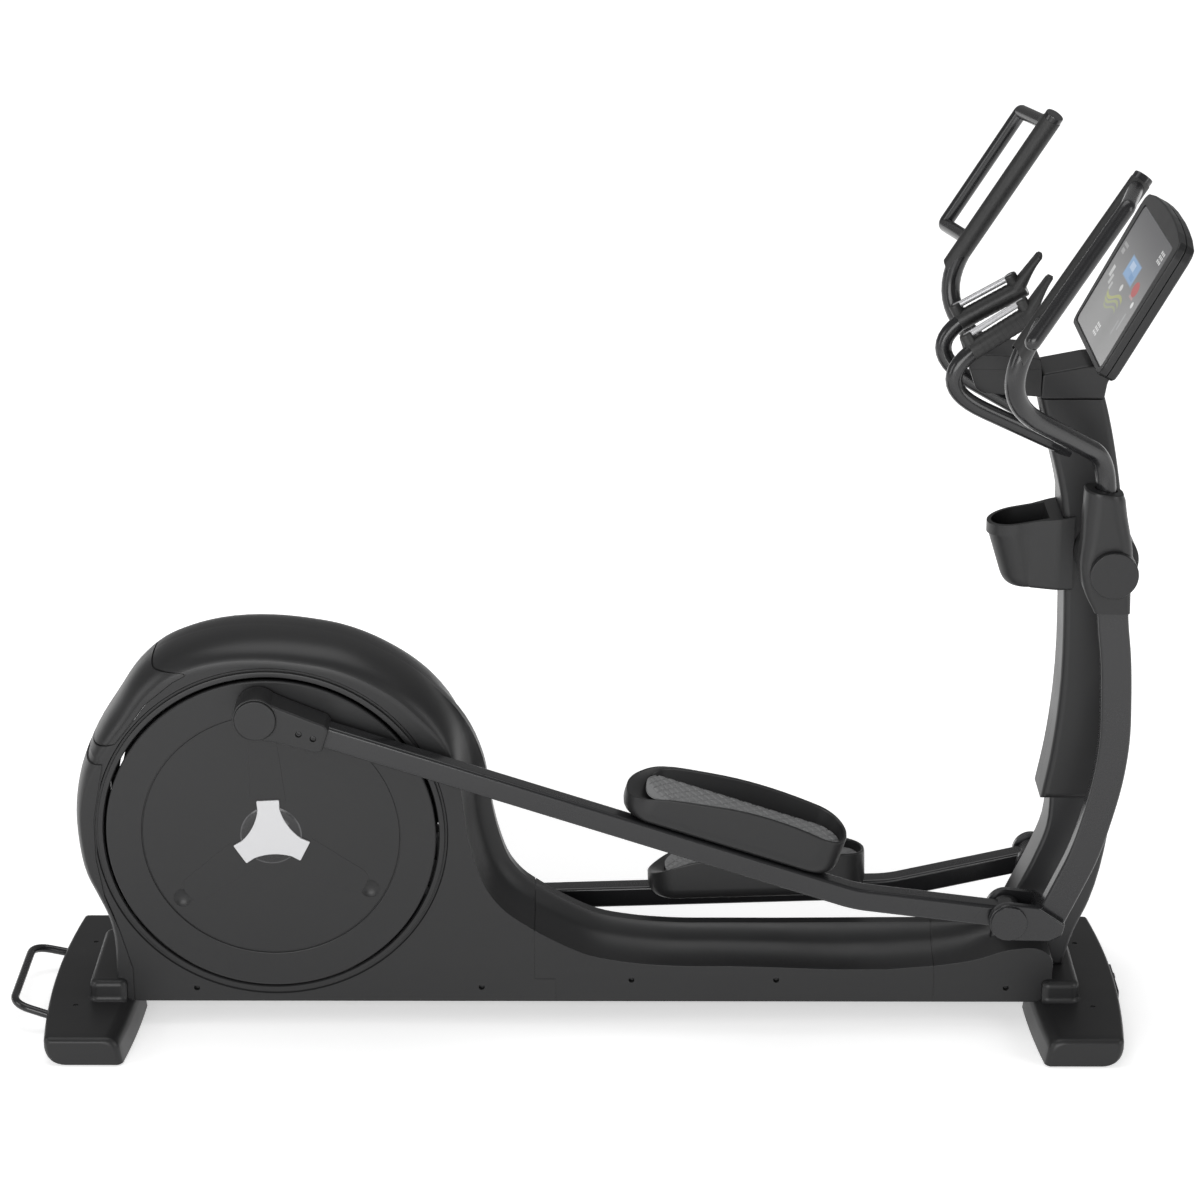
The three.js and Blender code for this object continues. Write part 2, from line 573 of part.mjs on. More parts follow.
function crankShaft() {
  const arms = [[-1, crank.restAngle], [1, crank.restAngle + Math.PI]].map(([side, angle]) => {
    const tip = [axle.x + crank.radius * Math.cos(angle), axle.z + crank.radius * Math.sin(angle)];
    const across = [Math.sin(angle), -Math.cos(angle)];
    const edge = ([x, z], half) => [[x + across[0] * half, z + across[1] * half], [x - across[0] * half,
      z - across[1] * half]];
    const [a, b] = edge([axle.x, axle.z], crank.hubHalf);
    const [d, c] = edge(tip, crank.halfWidth);
    const y0 = -crank.inner - crank.thick;
    const web = plateXZ(outline([a, d, c, b]), y0, -crank.inner);
    const ends = [rod(axle.x, axle.z, crank.hubHalf, y0, -crank.inner, 18),
      rod(tip[0], tip[1], crank.halfWidth, y0,
      -crank.inner, 16)];
    return mirror(union(web, ends), side);
  });
  const reach = crank.inner + crank.thick;
  return union(rod(axle.x, axle.z, axle.radius, -reach, reach, 16), arms);
}

function crankDisc(side) {
  const angle = side < 0 ? crank.restAngle : crank.restAngle + Math.PI;
  const inner = -disc.face + disc.thick;
  const body = plateXZ(circle(axle.x, axle.z, disc.radius), -disc.face, inner,
    { round: [3, 3], segments: 24,
    roundSegments: 1 });
  const recess = rod(axle.x, axle.z, disc.stepRadius, -disc.face - 1, -disc.face + disc.step, 36);
  const at = (radius, turn) => [axle.x + radius * Math.cos(angle + turn),
    axle.z + radius * Math.sin(angle + turn)];
  const dimples = [-disc.dimpleTurn, disc.dimpleTurn].map((turn) => {
    const [x, z] = at(disc.dimple, turn);
    return rod(x, z, 11, -disc.face, -disc.face + disc.step + 2, 10);
  });
  const [sx, sz] = at(crank.radius, 0);
  const socket = rod(sx, sz, armEnd.pin + 2, -disc.face - 1, -disc.face + disc.step + 3, 12);
  return mirror(cut(body, recess, dimples, socket), side);
}

function hubPlateBody(side) {
  const angle = side < 0 ? crank.restAngle : crank.restAngle + Math.PI;
  const points = [];
  for (let k = 0; k < 3; k += 1) {
    const turn = angle + k * 120 * degree;
    const dir = [Math.cos(turn), Math.sin(turn)];
    const across = [-dir[1], dir[0]];
    const local = [[16, -hubPlate.waist + 2], [38, -hubPlate.tipHalf + 3],
      [hubPlate.reach - 3, -hubPlate.tipHalf],
      [hubPlate.reach, -hubPlate.tipHalf + 4], [hubPlate.reach, hubPlate.tipHalf - 4],
      [hubPlate.reach - 3, hubPlate.tipHalf], [38, hubPlate.tipHalf - 3], [16, hubPlate.waist - 2]];
    local.forEach(([r, t]) => points.push([axle.x + dir[0] * r + across[0] * t,
      axle.z + dir[1] * r + across[1] * t]));
  }
  const face = -disc.face + disc.step - fit;
  return mirror(plateXZ(outline(points), face - hubPlate.thick, face, { round: [1, 1], roundSegments: 1 }),
    side);
}

function drivePulley() {
  const y0 = pulley.y - pulley.width / 2;
  const y1 = pulley.y + pulley.width / 2;
  const groove = cut(rod(axle.x, axle.z, pulley.radius + 1, pulley.y - 7.5, pulley.y + 7.5, 30),
    rod(axle.x, axle.z, pulley.radius - 4, pulley.y - 8, pulley.y + 8, 30));
  const holes = [0, 72, 144, 216, 288].map((turn) => rod(axle.x + 95 * Math.cos(turn * degree),
    axle.z + 95 * Math.sin(turn * degree), 32, y0 - 1, y1 + 1, 7));
  return cut(rod(axle.x, axle.z, pulley.radius, y0, y1, 30), groove, holes,
    rod(axle.x, axle.z, axle.radius + fit, y0 - 1, y1 + 1, 16));
}

function flywheelBody() {
  const { x, z } = flywheel;
  const y0 = pulley.y - pulley.width / 2;
  const y1 = pulley.y + pulley.width / 2;
  const wheelBody = cut(rod(x, z, flywheel.radius, -flywheel.half, flywheel.half, 26),
    rod(x, z, flywheel.radius - 22, -flywheel.half - 1, -flywheel.half + 10, 18),
    rod(x, z, flywheel.radius - 22, flywheel.half - 10, flywheel.half + 1, 18));
  const hubBody = rod(x, z, 26, -flywheel.half, flywheel.half, 12);
  const small = cut(rod(x, z, pulley.small, y0, y1, 14),
    cut(rod(x, z, pulley.small + 1, pulley.y - 7.5, pulley.y + 7.5, 14),
    rod(x, z, pulley.small - 4, pulley.y - 8, pulley.y + 8, 14)));
  return union(wheelBody, hubBody, small, rod(x, z, flywheel.axle,
    -driveFrame.inner - driveFrame.plate - 4, y1 + 3, 12));
}

function driveBelt() {
  const loopOutline = (big, small) => {
    const dx = flywheel.x - axle.x;
    const dz = flywheel.z - axle.z;
    const span = Math.hypot(dx, dz);
    const lean = Math.atan2(dz, dx);
    const open = Math.acos((big - small) / span);
    const shape = new THREE.Shape();
    shape.absarc(axle.x, axle.z, big, lean + open, lean - open + 2 * Math.PI, false);
    shape.absarc(flywheel.x, flywheel.z, small, lean - open, lean + open, false);
    return shape;
  };
  const low = 2.2;
  const inner = loopOutline(pulley.radius - low, pulley.small - low);
  const outer = loopOutline(pulley.radius - low + pulley.belt, pulley.small - low + pulley.belt);
  const y0 = pulley.y - pulley.beltWidth / 2;
  const y1 = pulley.y + pulley.beltWidth / 2;
  return cut(plateXZ(outer, y0, y1, { segments: 10 }), plateXZ(inner, y0 - 1, y1 + 1, { segments: 10 }));
}

// ---------------------------------------------------------------- mast
function pivotShaft() {
  const reach = sleeve.outer - fit;
  return rod(pivot.x, pivot.z, pivot.radius, -reach, reach, 18);
}

function mastCovers() {
  const outer = plateXZ(coverOutline(), -mast.half, mast.half, { round: [mast.edge, 10] });
  const inner = plateXZ(coverOutline(), wall - mast.half, mast.half - wall,
    { round: [mast.edge, 10], inset: wall });
  const postSpace = plateXZ(postOutline(fit + 0.2), -mast.postHalf - fit, mast.postHalf + fit);
  const bosses = [-1, 1].map((side) => mirror(rod(pivot.x, pivot.z, pivot.bossRadius, -pivot.bossReach,
    -mast.half + 4, 18), side));
  const bossCores = [-1, 1].map((side) => mirror(rod(pivot.x, pivot.z, pivot.bossRadius - wall,
    -pivot.bossReach + wall, -mast.half + wall + 2, 14), side));
  const bore = rod(pivot.x, pivot.z, pivot.radius + fit, -130, 130);
  const rimBores = [-1, 1].map((side) => mirror(rod(pivot.x, pivot.z, pivot.radius + 5,
    -pivot.bossReach + 1,
    -mast.half + 2, 14), side));
  const shell = cut(union(cut(outer, inner), cut(union(bosses), bossCores), cut(union(rimBores), bore)),
    postSpace,
    bore);
  const over = box(700, 1100, -100, 100, mast.top, 1400);
  const trimmed = cut(shell, over, barRun(-1, 0.6), barRun(1, 0.6));
  const pick = (side) => (side < 0 ? box(600, 1200, -200, -fit / 2, 0, 1500) : box(600, 1200, fit / 2, 200,
    0, 1500));
  return { right: trimmed.intersect(pick(-1)), left: trimmed.intersect(pick(1)) };
}

function cupHolder() {
  const slope = (cup.frontTop - cup.rearTop) / (cup.front - cup.rear);
  const stadium = (inset) => {
    const half = cup.half - inset;
    const shape = new THREE.Shape();
    shape.absarc(cup.rear + cup.half, 0, half, Math.PI / 2, 1.5 * Math.PI, false);
    shape.lineTo(cup.front + 10, -half);
    shape.lineTo(cup.front + 10, half);
    return shape;
  };
  const outer = slabXY(stadium(0), cup.bottom, cup.frontTop + 240,
    { round: [104, 36], roundSegments: 3, segments: 7 });
  const rimBand = slabXY(stadium(-3), cup.frontTop - 60, cup.frontTop + 40, { segments: 7 });
  const bandCut = plateXZ(outline([[600, cup.rearTop - 20 - slope * 165],
    [1000, cup.frontTop - 20 + slope * 83],
    [1000, 800], [600, 800]]), -100, 100);
  const over = plateXZ(outline([[600, cup.rearTop - slope * 165], [1000, cup.frontTop + slope * 83],
    [1000, 1400],
    [600, 1400]]), -100, 100);
  const collar = slabXY(roundedRectangle(840, -cup.collarHalf, cup.front + 20, cup.collarHalf, 10),
    cup.bottom,
    cup.frontTop + 40, { segments: 4 });
  const pocket = slabXY(stadium(cup.wall), cup.bottom + cup.floor, cup.frontTop + 290,
    { round: [96, 34], segments: 7,
    roundSegments: 2 }).intersect(box(700, 873, -100, 100, 800, 1200));
  const mastSpace = union(plateXZ(coverOutline(), -mast.half - fit, mast.half + fit,
    { round: [1, 0.01], inset: -0.4 }),
    rod(pivot.x, pivot.z, pivot.bossRadius + 1, -200, 200, 28));
  const beyond = box(cup.front, 1100, -200, 200, 800, 1300);
  return cut(union(outer, cut(rimBand, bandCut), collar), over, pocket, mastSpace, beyond);
}

// ---------------------------------------------------------------- console
function consoleOutline(grow) {
  const half = [[172, -12 - grow], [182 + grow, -7], [187 + grow, 6], [200 + grow, 238], [197 + grow, 254],
    [186 + grow, 265 + grow], [140, 273.5 + grow], [90, 278 + grow], [40, 280.5 + grow]];
  return outline([...half, ...half.slice().reverse().map(([y, z]) => [-y, z])]);
}

function consoleGlass() {
  const half = screen.width / 2;
  return barYZ(roundedRectangle(-half, 0, half, screen.height, screen.corner), 0, screen.thick,
    { segments: 5 });
}

function consoleFront() {
  const half = screen.width / 2 + fit;
  const body = barYZ(consoleOutline(0), -1.5, consoleBody.front, { round: [3, 3], roundSegments: 2 });
  return cut(body, barYZ(roundedRectangle(-half, -fit, half, screen.height + fit, screen.corner), -5,
    screen.thick + fit,
    { segments: 5 }));
}

function consoleBack() {
  const body = barYZ(consoleOutline(0), consoleBody.front - 30, consoleBody.depth,
    { round: [18, 9], roundSegments: 2 });
  const rear = cut(body, box(-30, consoleBody.front + fit, -250, 250, -50, 320));
  const pocket = barYZ(consoleOutline(0), 0, consoleBody.depth - wall, { round: [1, 1], inset: 14 });
  return cut(rear, pocket);
}

function neckOutline() {
  const atConsole = [[-7, -28], [13, -26], [15, -2], [45, 54], [71, 54], [87, 30], [55, -20]]
    .map(([dx, dz]) => [consoleBody.x + dx, consoleBody.z + dz]);
  return outline([[844, mast.top + fit], [846, 1288], ...atConsole, [966, 1272], [961, mast.top + fit]]);
}

function consoleNeck(space) {
  const body = plateXZ(neckOutline(), -mast.half, mast.half, { round: [6, 4] });
  return cut(body, space, box(700, 1100, -100, 100, 1100, mast.top + fit));
}

function podPieces() {
  const shape = outline([[704, 1328], [712, 1305], [726, 1262], [740, 1253], [845, 1246], [845, 1290],
    [842, 1318], [780, 1324]]);
  const body = plateXZ(shape, -pod.half, pod.half, { round: [10, 8] });
  const around = [barRun(-1, 0.6), barRun(1, 0.6), plateXZ(neckOutline(), -mast.half - fit, mast.half + fit,
    { round: [0.5, 0.01], inset: -fit })];
  const upper = cut(body, box(600, 900, -100, 100, 1200, pod.seam + fit / 2), around);
  const lower = cut(body, box(600, 900, -100, 100, pod.seam - fit / 2, 1400), around);
  return { upper, lower };
}

// ---------------------------------------------------------------- static handlebars
const barPoints = (side) => [[905, side * 46, 1143], [865, side * 60, 1164], [623, side * 116, 1291],
  [825, side * 88, 1415]];

function barRun(side, grow) {
  return tube(barPoints(side), [30, bar.bend], bar.radius + grow, 34, 4);
}

const along = (from, to, t) => from.map((value, k) => value + (to[k] - value) * t);

// A point above the grip's centre line, at share t of its straight run.
function aboveGrip(side, t, height) {
  const [, , corner, end] = barPoints(side);
  const [x, y, z] = along(corner, end, t);
  return [x - 0.5 * height, y, z + 0.86 * height];
}

// A thumb paddle at the grip's end, flat on top round its key.
function hornBody(side) {
  const [, , corner, end] = barPoints(side);
  const root = tube([along(corner, end, 0.9), end], [], bar.sleeve, 30, 4);
  const { at, dir } = hornTip(side);
  const lengthwise = new THREE.Vector3(...end).sub(new THREE.Vector3(...corner)).normalize();
  const across = dir.clone().cross(lengthwise).normalize();
  const forward = across.clone().cross(dir);
  const turn = new THREE.Matrix4().makeBasis(forward, across, dir);
  const place = new THREE.Vector3(...at).addScaledVector(dir, -horn.thick / 2);
  const pad = new THREE.CylinderGeometry(horn.top, horn.top + 4, horn.thick, 16).rotateX(Math.PI / 2)
    .scale(horn.long / horn.top, 1, 1).applyMatrix4(turn).translate(place.x, place.y, place.z);
  return wasm.Manifold.hull([root, solid(pad)]);
}

function handGrip(side) {
  const [, , corner, end] = barPoints(side);
  const grip = tube([along(corner, end, 0.43), end], [], bar.sleeve, 30, 4);
  const blocks = [0.455, 0.94].map((t) => tube([aboveGrip(side, t, 0), aboveGrip(side, t, 34)], [], 12, 20,
    3));
  return cut(union(grip, hornBody(side), blocks), barRun(side, fit), pulseRun(side, fit),
    quickKeySpace(side));
}

function pulseRun(side, grow) {
  return tube([aboveGrip(side, 0.44, bar.rise), aboveGrip(side, 0.96, bar.rise)], [], bar.sensor + grow,
    30, 4);
}

const hornTip = (side) => ({ at: [849, side * 79, 1476],
  dir: new THREE.Vector3(24, side * -9, 61).normalize() });

function quickKeySpace(side) {
  const { at, dir } = hornTip(side);
  const a = new THREE.Vector3(...at).addScaledVector(dir, -5).toArray();
  const b = new THREE.Vector3(...at).addScaledVector(dir, 5).toArray();
  return tube([a, b], [], 11.5, 10, 5);
}

function quickKey(side) {
  const { at, dir } = hornTip(side);
  const a = new THREE.Vector3(...at).addScaledVector(dir, -2.2).toArray();
  const b = new THREE.Vector3(...at).addScaledVector(dir, 2.5).toArray();
  return tube([a, b], [], 11, 10, 5);
}

function powerInlet() {
  const { front, z, inletY: y } = powerPanel;
  const [wide, high] = [inlet.half - fit, inlet.high - fit];
  const body = box(front - 26, front + 1.5, y - wide, y + wide, z - high, z + high);
  const socket = box(front - 14, front + 3, y - inlet.socketHalf, y + inlet.socketHalf,
    z - inlet.socketHigh,
    z + inlet.socketHigh);
  const pins = [-6, 0, 6].map((dy) => box(front - 16, front - 3, y + dy - 1.2, y + dy + 1.2, z - 2, z + 2));
  return union(cut(body, socket), pins);
}

function powerSwitch() {
  const { front, z, switchY: y } = powerPanel;
  const shape = outline([[front - 12, z - 6], [front - 1, z - rocker.high - 1],
    [front + 2, z - rocker.high + 0.5],
    [front, z], [front + 4, z + rocker.high - 0.5], [front + 1, z + rocker.high], [front - 12, z + 6]]);
  return plateXZ(shape, y - rocker.half + 0.5, y + rocker.half - 0.5);
}

// ---------------------------------------------------------------- swing arm, round its pivot at 0, 0
const sleeveShape = () => outline([[-90, 146], [-60, -6], [-9, -86], [52, -72], [30, 39], [-16, 150]]);
const swingRun = [[14, -40], [30, -95], [56, -168], [78, -243], [98, -325], [107, -400], [108, -473],
  [103, 153 - swing.length], [92, 90 - swing.length], [76, 10 - swing.length]];

function swingTube(grow) {
  return plateXZ(ribbon(swingRun, swing.width + 2 * grow, 9), -swing.outer - grow, -swing.inner + grow,
    { round: [6, 6], roundSegments: 1 });
}

function swingArm() {
  const z = -swing.length;
  const block = plateXZ(outline([[104, z + 20], [104, z - 4], [84, z - 21], [0, z - fork.radius],
    [-10, z - fork.radius + 2], [-10, z + fork.radius - 2], [0, z + fork.radius], [48, z + 42]]),
  -fork.outer, -fork.inner, { round: [5, 4], roundSegments: 1 });
  const ends = rod(0, z, fork.radius, -fork.outer, -fork.inner, 20);
  const slot = box(-70, 44, -fork.outer + fork.cheek, -fork.inner - fork.cheek, z - 80, z + 80);
  const pin = rod(0, z, fork.pin, -fork.outer + 1, -fork.inner - 1, 14);
  const caps = [[-fork.outer - fork.capThick, -fork.outer + 1],
    [-fork.inner - 1, -fork.inner + fork.capThick]]
    .map(([y0, y1]) => rod(0, z, fork.capRadius, y0, y1, 18));
  const core = plateXZ(ribbon([[11, -34], ...swingRun.slice(0, -3)], swing.width - 2 * tubeWall, 8),
    tubeWall - swing.outer, -swing.inner - tubeWall);
  return union(cut(swingTube(0), core), cut(union(block, ends), slot), pin, caps);
}

function pivotSleeve() {
  const body = plateXZ(sleeveShape(), -sleeve.outer, -sleeve.inner, { round: [9, 8] });
  const barrel = rod(0, 0, sleeve.capRadius, -sleeve.outer, -sleeve.inner, 22);
  const cap = rod(0, 0, sleeve.capRadius, -sleeve.outer - sleeve.capThick, -sleeve.outer + 1, 22);
  const bore = rod(0, 0, boreRadius(pivot.radius), -sleeve.outer - fit, 0, 18);
  return cut(union(body, barrel, cap), bore, swingTube(fit + 0.1), handleTube(fit + 0.1));
}

function handleTube(grow) {
  const run = handleRun.map(([x, y, z]) => [x, -y, z]);
  return tube(run, [handle.lowBend, handle.highBend], handle.lowRadius + grow, 60, 5);
}

function handleCore() {
  const [start, corner, high, top] = handleRun;
  const run = [along(corner, start, 1.06), corner, high,
    along(high, top, 0.97)].map(([x, y, z]) => [x, -y, z]);
  return tube(run, [handle.lowBend, handle.highBend], handle.lowRadius - tubeWall, 74, 4);
}

function movingHandle() {
  const loop = tube(loopRun.map(([x, y, z]) => [x, -y, z]), [14, 14], handle.loopRadius, 60, 4);
  const [low, high] = [handleRun[2], handleRun[3]];
  const cap = tube([[...along(low, high, 0.995)],
    [...along(low, high, 1.012)]].map(([x, y, z]) => [x, -y, z]), [],
    handle.lowRadius - 2, 10, 5);
  return union(cut(union(handleTube(0), loop), handleCore()), cap);
}

// ---------------------------------------------------------------- pedal arm, round its lower pivot at 0, 0
function pedalArm() {
  const h = arm.height / 2;
  const [bx, bz] = bendPoint;
  const up = [-Math.sin(arm.bend), Math.cos(arm.bend)];
  const mid = [-Math.sin(arm.bend / 2), Math.cos(arm.bend / 2)];
  const back = pinPoint[0] + armEnd.length * 0.45;
  const shape = outline([[back, bz - h], [bx - mid[0] * h, bz - mid[1] * h], [-up[0] * h, -up[1] * h],
    [up[0] * h, up[1] * h], [bx + mid[0] * h, bz + mid[1] * h], [back, bz + h]]);
  const beamTube = plateXZ(shape, -arm.outer, -arm.inner,
    { round: [arm.round, arm.round], roundSegments: 2 });
  const boss = rod(0, 0, armBoss.radius, -armBoss.outer, -armBoss.inner, 22);
  const w = h - tubeWall;
  const end = bendPoint.map((value) => (value * (armBoss.radius + 12)) / arm.front);
  const core = plateXZ(outline([[back - 5, bz - w], [bx - mid[0] * w, bz - mid[1] * w],
    [end[0] - up[0] * w, end[1] - up[1] * w], [end[0] + up[0] * w, end[1] + up[1] * w],
    [bx + mid[0] * w, bz + mid[1] * w], [back - 5, bz + w]]), tubeWall - arm.outer, -arm.inner - tubeWall);
  return cut(union(beamTube, boss), core, rod(0, 0, boreRadius(fork.pin, 14), -200, 0, 14));
}

function armHousing() {
  const [px, pz] = pinPoint;
  const h = arm.height / 2;
  const shape = outline([[px, pz + armEnd.radius - 2], [px - 14, pz + armEnd.radius - 4],
    [px - 14, pz - armEnd.radius + 4],
    [px, pz - armEnd.radius + 2], [px + 46, pz - h - 11], [px + 128, pz - h - 7],
    [px + armEnd.length, pz - h - 2],
    [px + armEnd.length, pz + h + 2], [px + 128, pz + h + 7], [px + 46, pz + h + 13]]);
  const body = plateXZ(shape, -armEnd.outer, -armEnd.inner, { round: [7, 6], roundSegments: 2 });
  const barrel = rod(px, pz, armEnd.radius, -armEnd.outer, -armEnd.inner, 22);
  const cap = rod(px, pz, armEnd.capRadius, -armEnd.outer - armEnd.capThick, -armEnd.outer + 1, 20);
  const pin = rod(px, pz, armEnd.pin, -armEnd.inner - 1, -armEnd.pinEnd, 14);
  const bolts = [[84, -2], [112, -2]].map(([dx, dz]) => rod(px + dx, pz + dz, 5, -armEnd.outer - 1,
    -armEnd.outer + 2, 8));
  const seat = px + armEnd.length * 0.45 - fit;
  const socket = plateXZ(outline([[seat, pz - h - fit], [px + 300, pz - h - fit], [px + 300, pz + h + fit],
    [seat, pz + h + fit]]), -arm.outer - fit, -arm.inner + fit,
    { round: [arm.round, arm.round], roundSegments: 2 });
  return cut(union(body, barrel, cap, pin), socket, bolts);
}

const pedalX = (distance) => pinPoint[0] + distance;
const pedalZ = (height) => pinPoint[1] + height;

function pedalPlan(inset) {
  return roundedRectangle(pedalX(pedal.start) + inset, -pedal.outer + inset, pedalX(pedal.end) - inset,
    -pedal.inner - inset, pedal.corner - inset);
}

function aboveRim(drop) {
  const edge = (k) => [...smoothRun(rim.map((row) => [pedalX(row[0]), pedalZ(row[k] - drop)]), 9),
    [pedalX(1200), pedalZ(260)], [pedalX(650), pedalZ(260)]];
  const [outer, inner] = [edge(1), edge(2)];
  return stack([outer, outer, inner, inner], [-pedal.outer - 10, -pedal.outer, -pedal.inner,
    -pedal.inner + 10]);
}

function pedalPan() {
  const bottom = pedalZ(arm.height / 2 + fit);
  const body = slabXY(pedalPlan(0), bottom, pedalZ(220),
    { round: [34, pedal.under], roundSegments: 2, segments: 5 });
  const pocket = slabXY(pedalPlan(pedal.wall), pedalZ(pedal.floor), pedalZ(240), { segments: 5 });
  return cut(body, aboveRim(0), pocket);
}

function pedalTread() {
  const from = pedalZ(pedal.floor + fit);
  return cut(slabXY(pedalPlan(pedal.wall + fit), from, from + tread.thick, { segments: 5 }), aboveRim(2));
}

// ---------------------------------------------------------------- assembly
const frameGroup = new THREE.Group();
frameGroup.name = 'frame';
root.add(frameGroup);

place('base_beam', baseBeam(), 'paint', frameGroup);
place('rear_cross_tube', crossTubeAt(foot.rearX), 'paint', frameGroup);
place('front_cross_tube', frontCrossTube(), 'paint', frameGroup);
place('mast_post', mastPost(), 'paint', frameGroup);
place('drive_frame', driveFramePlates(), 'paint', frameGroup);
place('rear_foot_cover', rearFootCover(), 'shell', frameGroup);
place('front_foot_cover', frontFootCover(), 'shell', frameGroup);
place('pull_handle', pullHandle(), 'paint', frameGroup);
for (const [end, x] of [['rear', foot.rearX], ['front', foot.frontX]]) {
  for (const [name, side] of sides) {
    place(`levelling_foot_${end}_${name}`, levellingFoot(x, side * leveller.y), 'rubber', frameGroup);
  }
}

const shroudParts = shroudPieces();
place('base_shroud_right', shroudParts.right, 'shell', frameGroup);
place('base_shroud_left', shroudParts.left, 'shell', frameGroup);
place('shroud_rear_insert', shroudParts.insert, 'shell', frameGroup);
place('shroud_rear_cap', shroudParts.cap, 'shell', frameGroup);

const covers = mastCovers();
place('mast_cover_right', covers.right, 'shell', frameGroup);
place('mast_cover_left', covers.left, 'shell', frameGroup);
place('pivot_shaft', pivotShaft(), 'steel', frameGroup);
place('cup_holder', cupHolder(), 'shell', frameGroup);

const consoleGroup = new THREE.Group();
consoleGroup.name = 'console';
consoleGroup.position.set(consoleBody.x, 0, consoleBody.z);
consoleGroup.rotation.y = consoleBody.tilt;
root.add(consoleGroup);
place('screen_glass', consoleGlass(), 'glass', consoleGroup);
place('console_front_housing', consoleFront(), 'shell', consoleGroup);
place('console_back_cover', consoleBack(), 'shell', consoleGroup);

function consoleSpace() {
  const body = barYZ(consoleOutline(fit), -2, consoleBody.depth + fit);
  const geometry = geometryOf(body).rotateY(consoleBody.tilt).translate(consoleBody.x, 0, consoleBody.z);
  return solid(geometry);
}

const podParts = podPieces();
place('console_neck', consoleNeck(consoleSpace()), 'shell', frameGroup);
place('pod_upper', podParts.upper, 'shell', frameGroup);
place('pod_lower', podParts.lower, 'shell', frameGroup);
for (const [name, side] of sides) {
  place(`static_bar_${name}`, cut(barRun(side, 0),
    plateXZ(postOutline(fit), -mast.postHalf - fit, mast.postHalf + fit)),
    'gloss', frameGroup);
  place(`hand_grip_${name}`, handGrip(side), 'grip', frameGroup);
  place(`pulse_sensor_${name}`, pulseRun(side, 0), 'steel', frameGroup);
  place(`quick_key_${name}`, quickKey(side), 'grip', frameGroup);
}
place('power_inlet', powerInlet(), 'rubber', frameGroup);
place('power_switch', powerSwitch(), 'rubber', frameGroup);
for (const [name, side] of sides) place(`transport_wheel_${name}`, transportWheel(side), 'rubber',
  frameGroup);

const crankGroup = new THREE.Group();
crankGroup.name = 'crank';
root.add(crankGroup);
place('crank_shaft', crankShaft(), 'cast', crankGroup);
place('drive_pulley', drivePulley(), 'cast', crankGroup);
for (const [name, side] of sides) {
  place(`crank_disc_${name}`, crankDisc(side), 'shell', crankGroup);
  place(`hub_plate_${name}`, hubPlateBody(side), 'plate', crankGroup);
}
place('flywheel', flywheelBody(), 'cast');
place('drive_belt', driveBelt(), 'rubber');

for (const [name, side] of sides) {
  const pose = rest[name];
  const swingGroup = new THREE.Group();
  swingGroup.name = `swing_${name}`;
  swingGroup.position.set(pivot.x, 0, pivot.z);
  swingGroup.rotation.y = -pose.swingAngle;
  root.add(swingGroup);
  place(`swing_arm_${name}`, mirror(swingArm(), side), 'gloss', swingGroup);
  place(`pivot_sleeve_${name}`, mirror(pivotSleeve(), side), 'shell', swingGroup);
  place(`moving_handle_${name}`, mirror(movingHandle(), side), 'gloss', swingGroup);
  const pedalGroup = new THREE.Group();
  pedalGroup.name = `pedal_${name}`;
  pedalGroup.position.set(0, 0, -swing.length);
  pedalGroup.rotation.y = -(pose.armAngle - pose.swingAngle);
  swingGroup.add(pedalGroup);
  place(`pedal_arm_${name}`, mirror(pedalArm(), side), 'gloss', pedalGroup);
  place(`crank_joint_${name}`, mirror(armHousing(), side), 'shell', pedalGroup);
  place(`pedal_pan_${name}`, mirror(pedalPan(), side), 'shell', pedalGroup);
  place(`pedal_tread_${name}`, mirror(pedalTread(), side), 'tread', pedalGroup);
}

export default root;
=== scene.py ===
import json
import math

import bmesh
import bpy
from mathutils import Matrix, Vector


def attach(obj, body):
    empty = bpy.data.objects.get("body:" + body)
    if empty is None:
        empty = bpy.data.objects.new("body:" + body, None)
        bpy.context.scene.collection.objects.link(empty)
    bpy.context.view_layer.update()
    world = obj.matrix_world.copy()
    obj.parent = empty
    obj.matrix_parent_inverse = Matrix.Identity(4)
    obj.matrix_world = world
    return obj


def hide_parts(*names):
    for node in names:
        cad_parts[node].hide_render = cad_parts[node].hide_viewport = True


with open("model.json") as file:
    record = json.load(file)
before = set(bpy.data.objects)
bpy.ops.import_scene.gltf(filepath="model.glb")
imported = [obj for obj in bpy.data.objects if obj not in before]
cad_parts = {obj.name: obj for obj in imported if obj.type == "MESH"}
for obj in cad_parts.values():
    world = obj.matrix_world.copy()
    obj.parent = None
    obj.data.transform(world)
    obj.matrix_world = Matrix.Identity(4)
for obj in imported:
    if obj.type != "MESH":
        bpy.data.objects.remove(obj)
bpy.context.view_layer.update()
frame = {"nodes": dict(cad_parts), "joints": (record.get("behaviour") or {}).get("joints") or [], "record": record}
nodes = frame["nodes"]
mm = 0.001
sides = (("right", -1), ("left", 1))


# small tools for node trees
def newNode(tree, kind, **values):
    node = tree.nodes.new(kind)
    for key, value in values.items():
        setattr(node, key, value)
    return node


def feed(tree, source, target):
    # a socket is linked, and a plain value is set on the input itself
    if isinstance(source, bpy.types.NodeSocket):
        tree.links.new(source, target)
    else:
        target.default_value = source


def calc(tree, operation, *sources):
    node = newNode(tree, "ShaderNodeMath", operation=operation)
    for source, target in zip(sources, node.inputs):
        feed(tree, source, target)
    return node.outputs[0]


def vectorCalc(tree, operation, *sources):
    node = newNode(tree, "ShaderNodeVectorMath", operation=operation)
    for source, target in zip(sources, node.inputs):
        feed(tree, source, target)
    return node.outputs["Value"] if operation == "LENGTH" else node.outputs["Vector"]


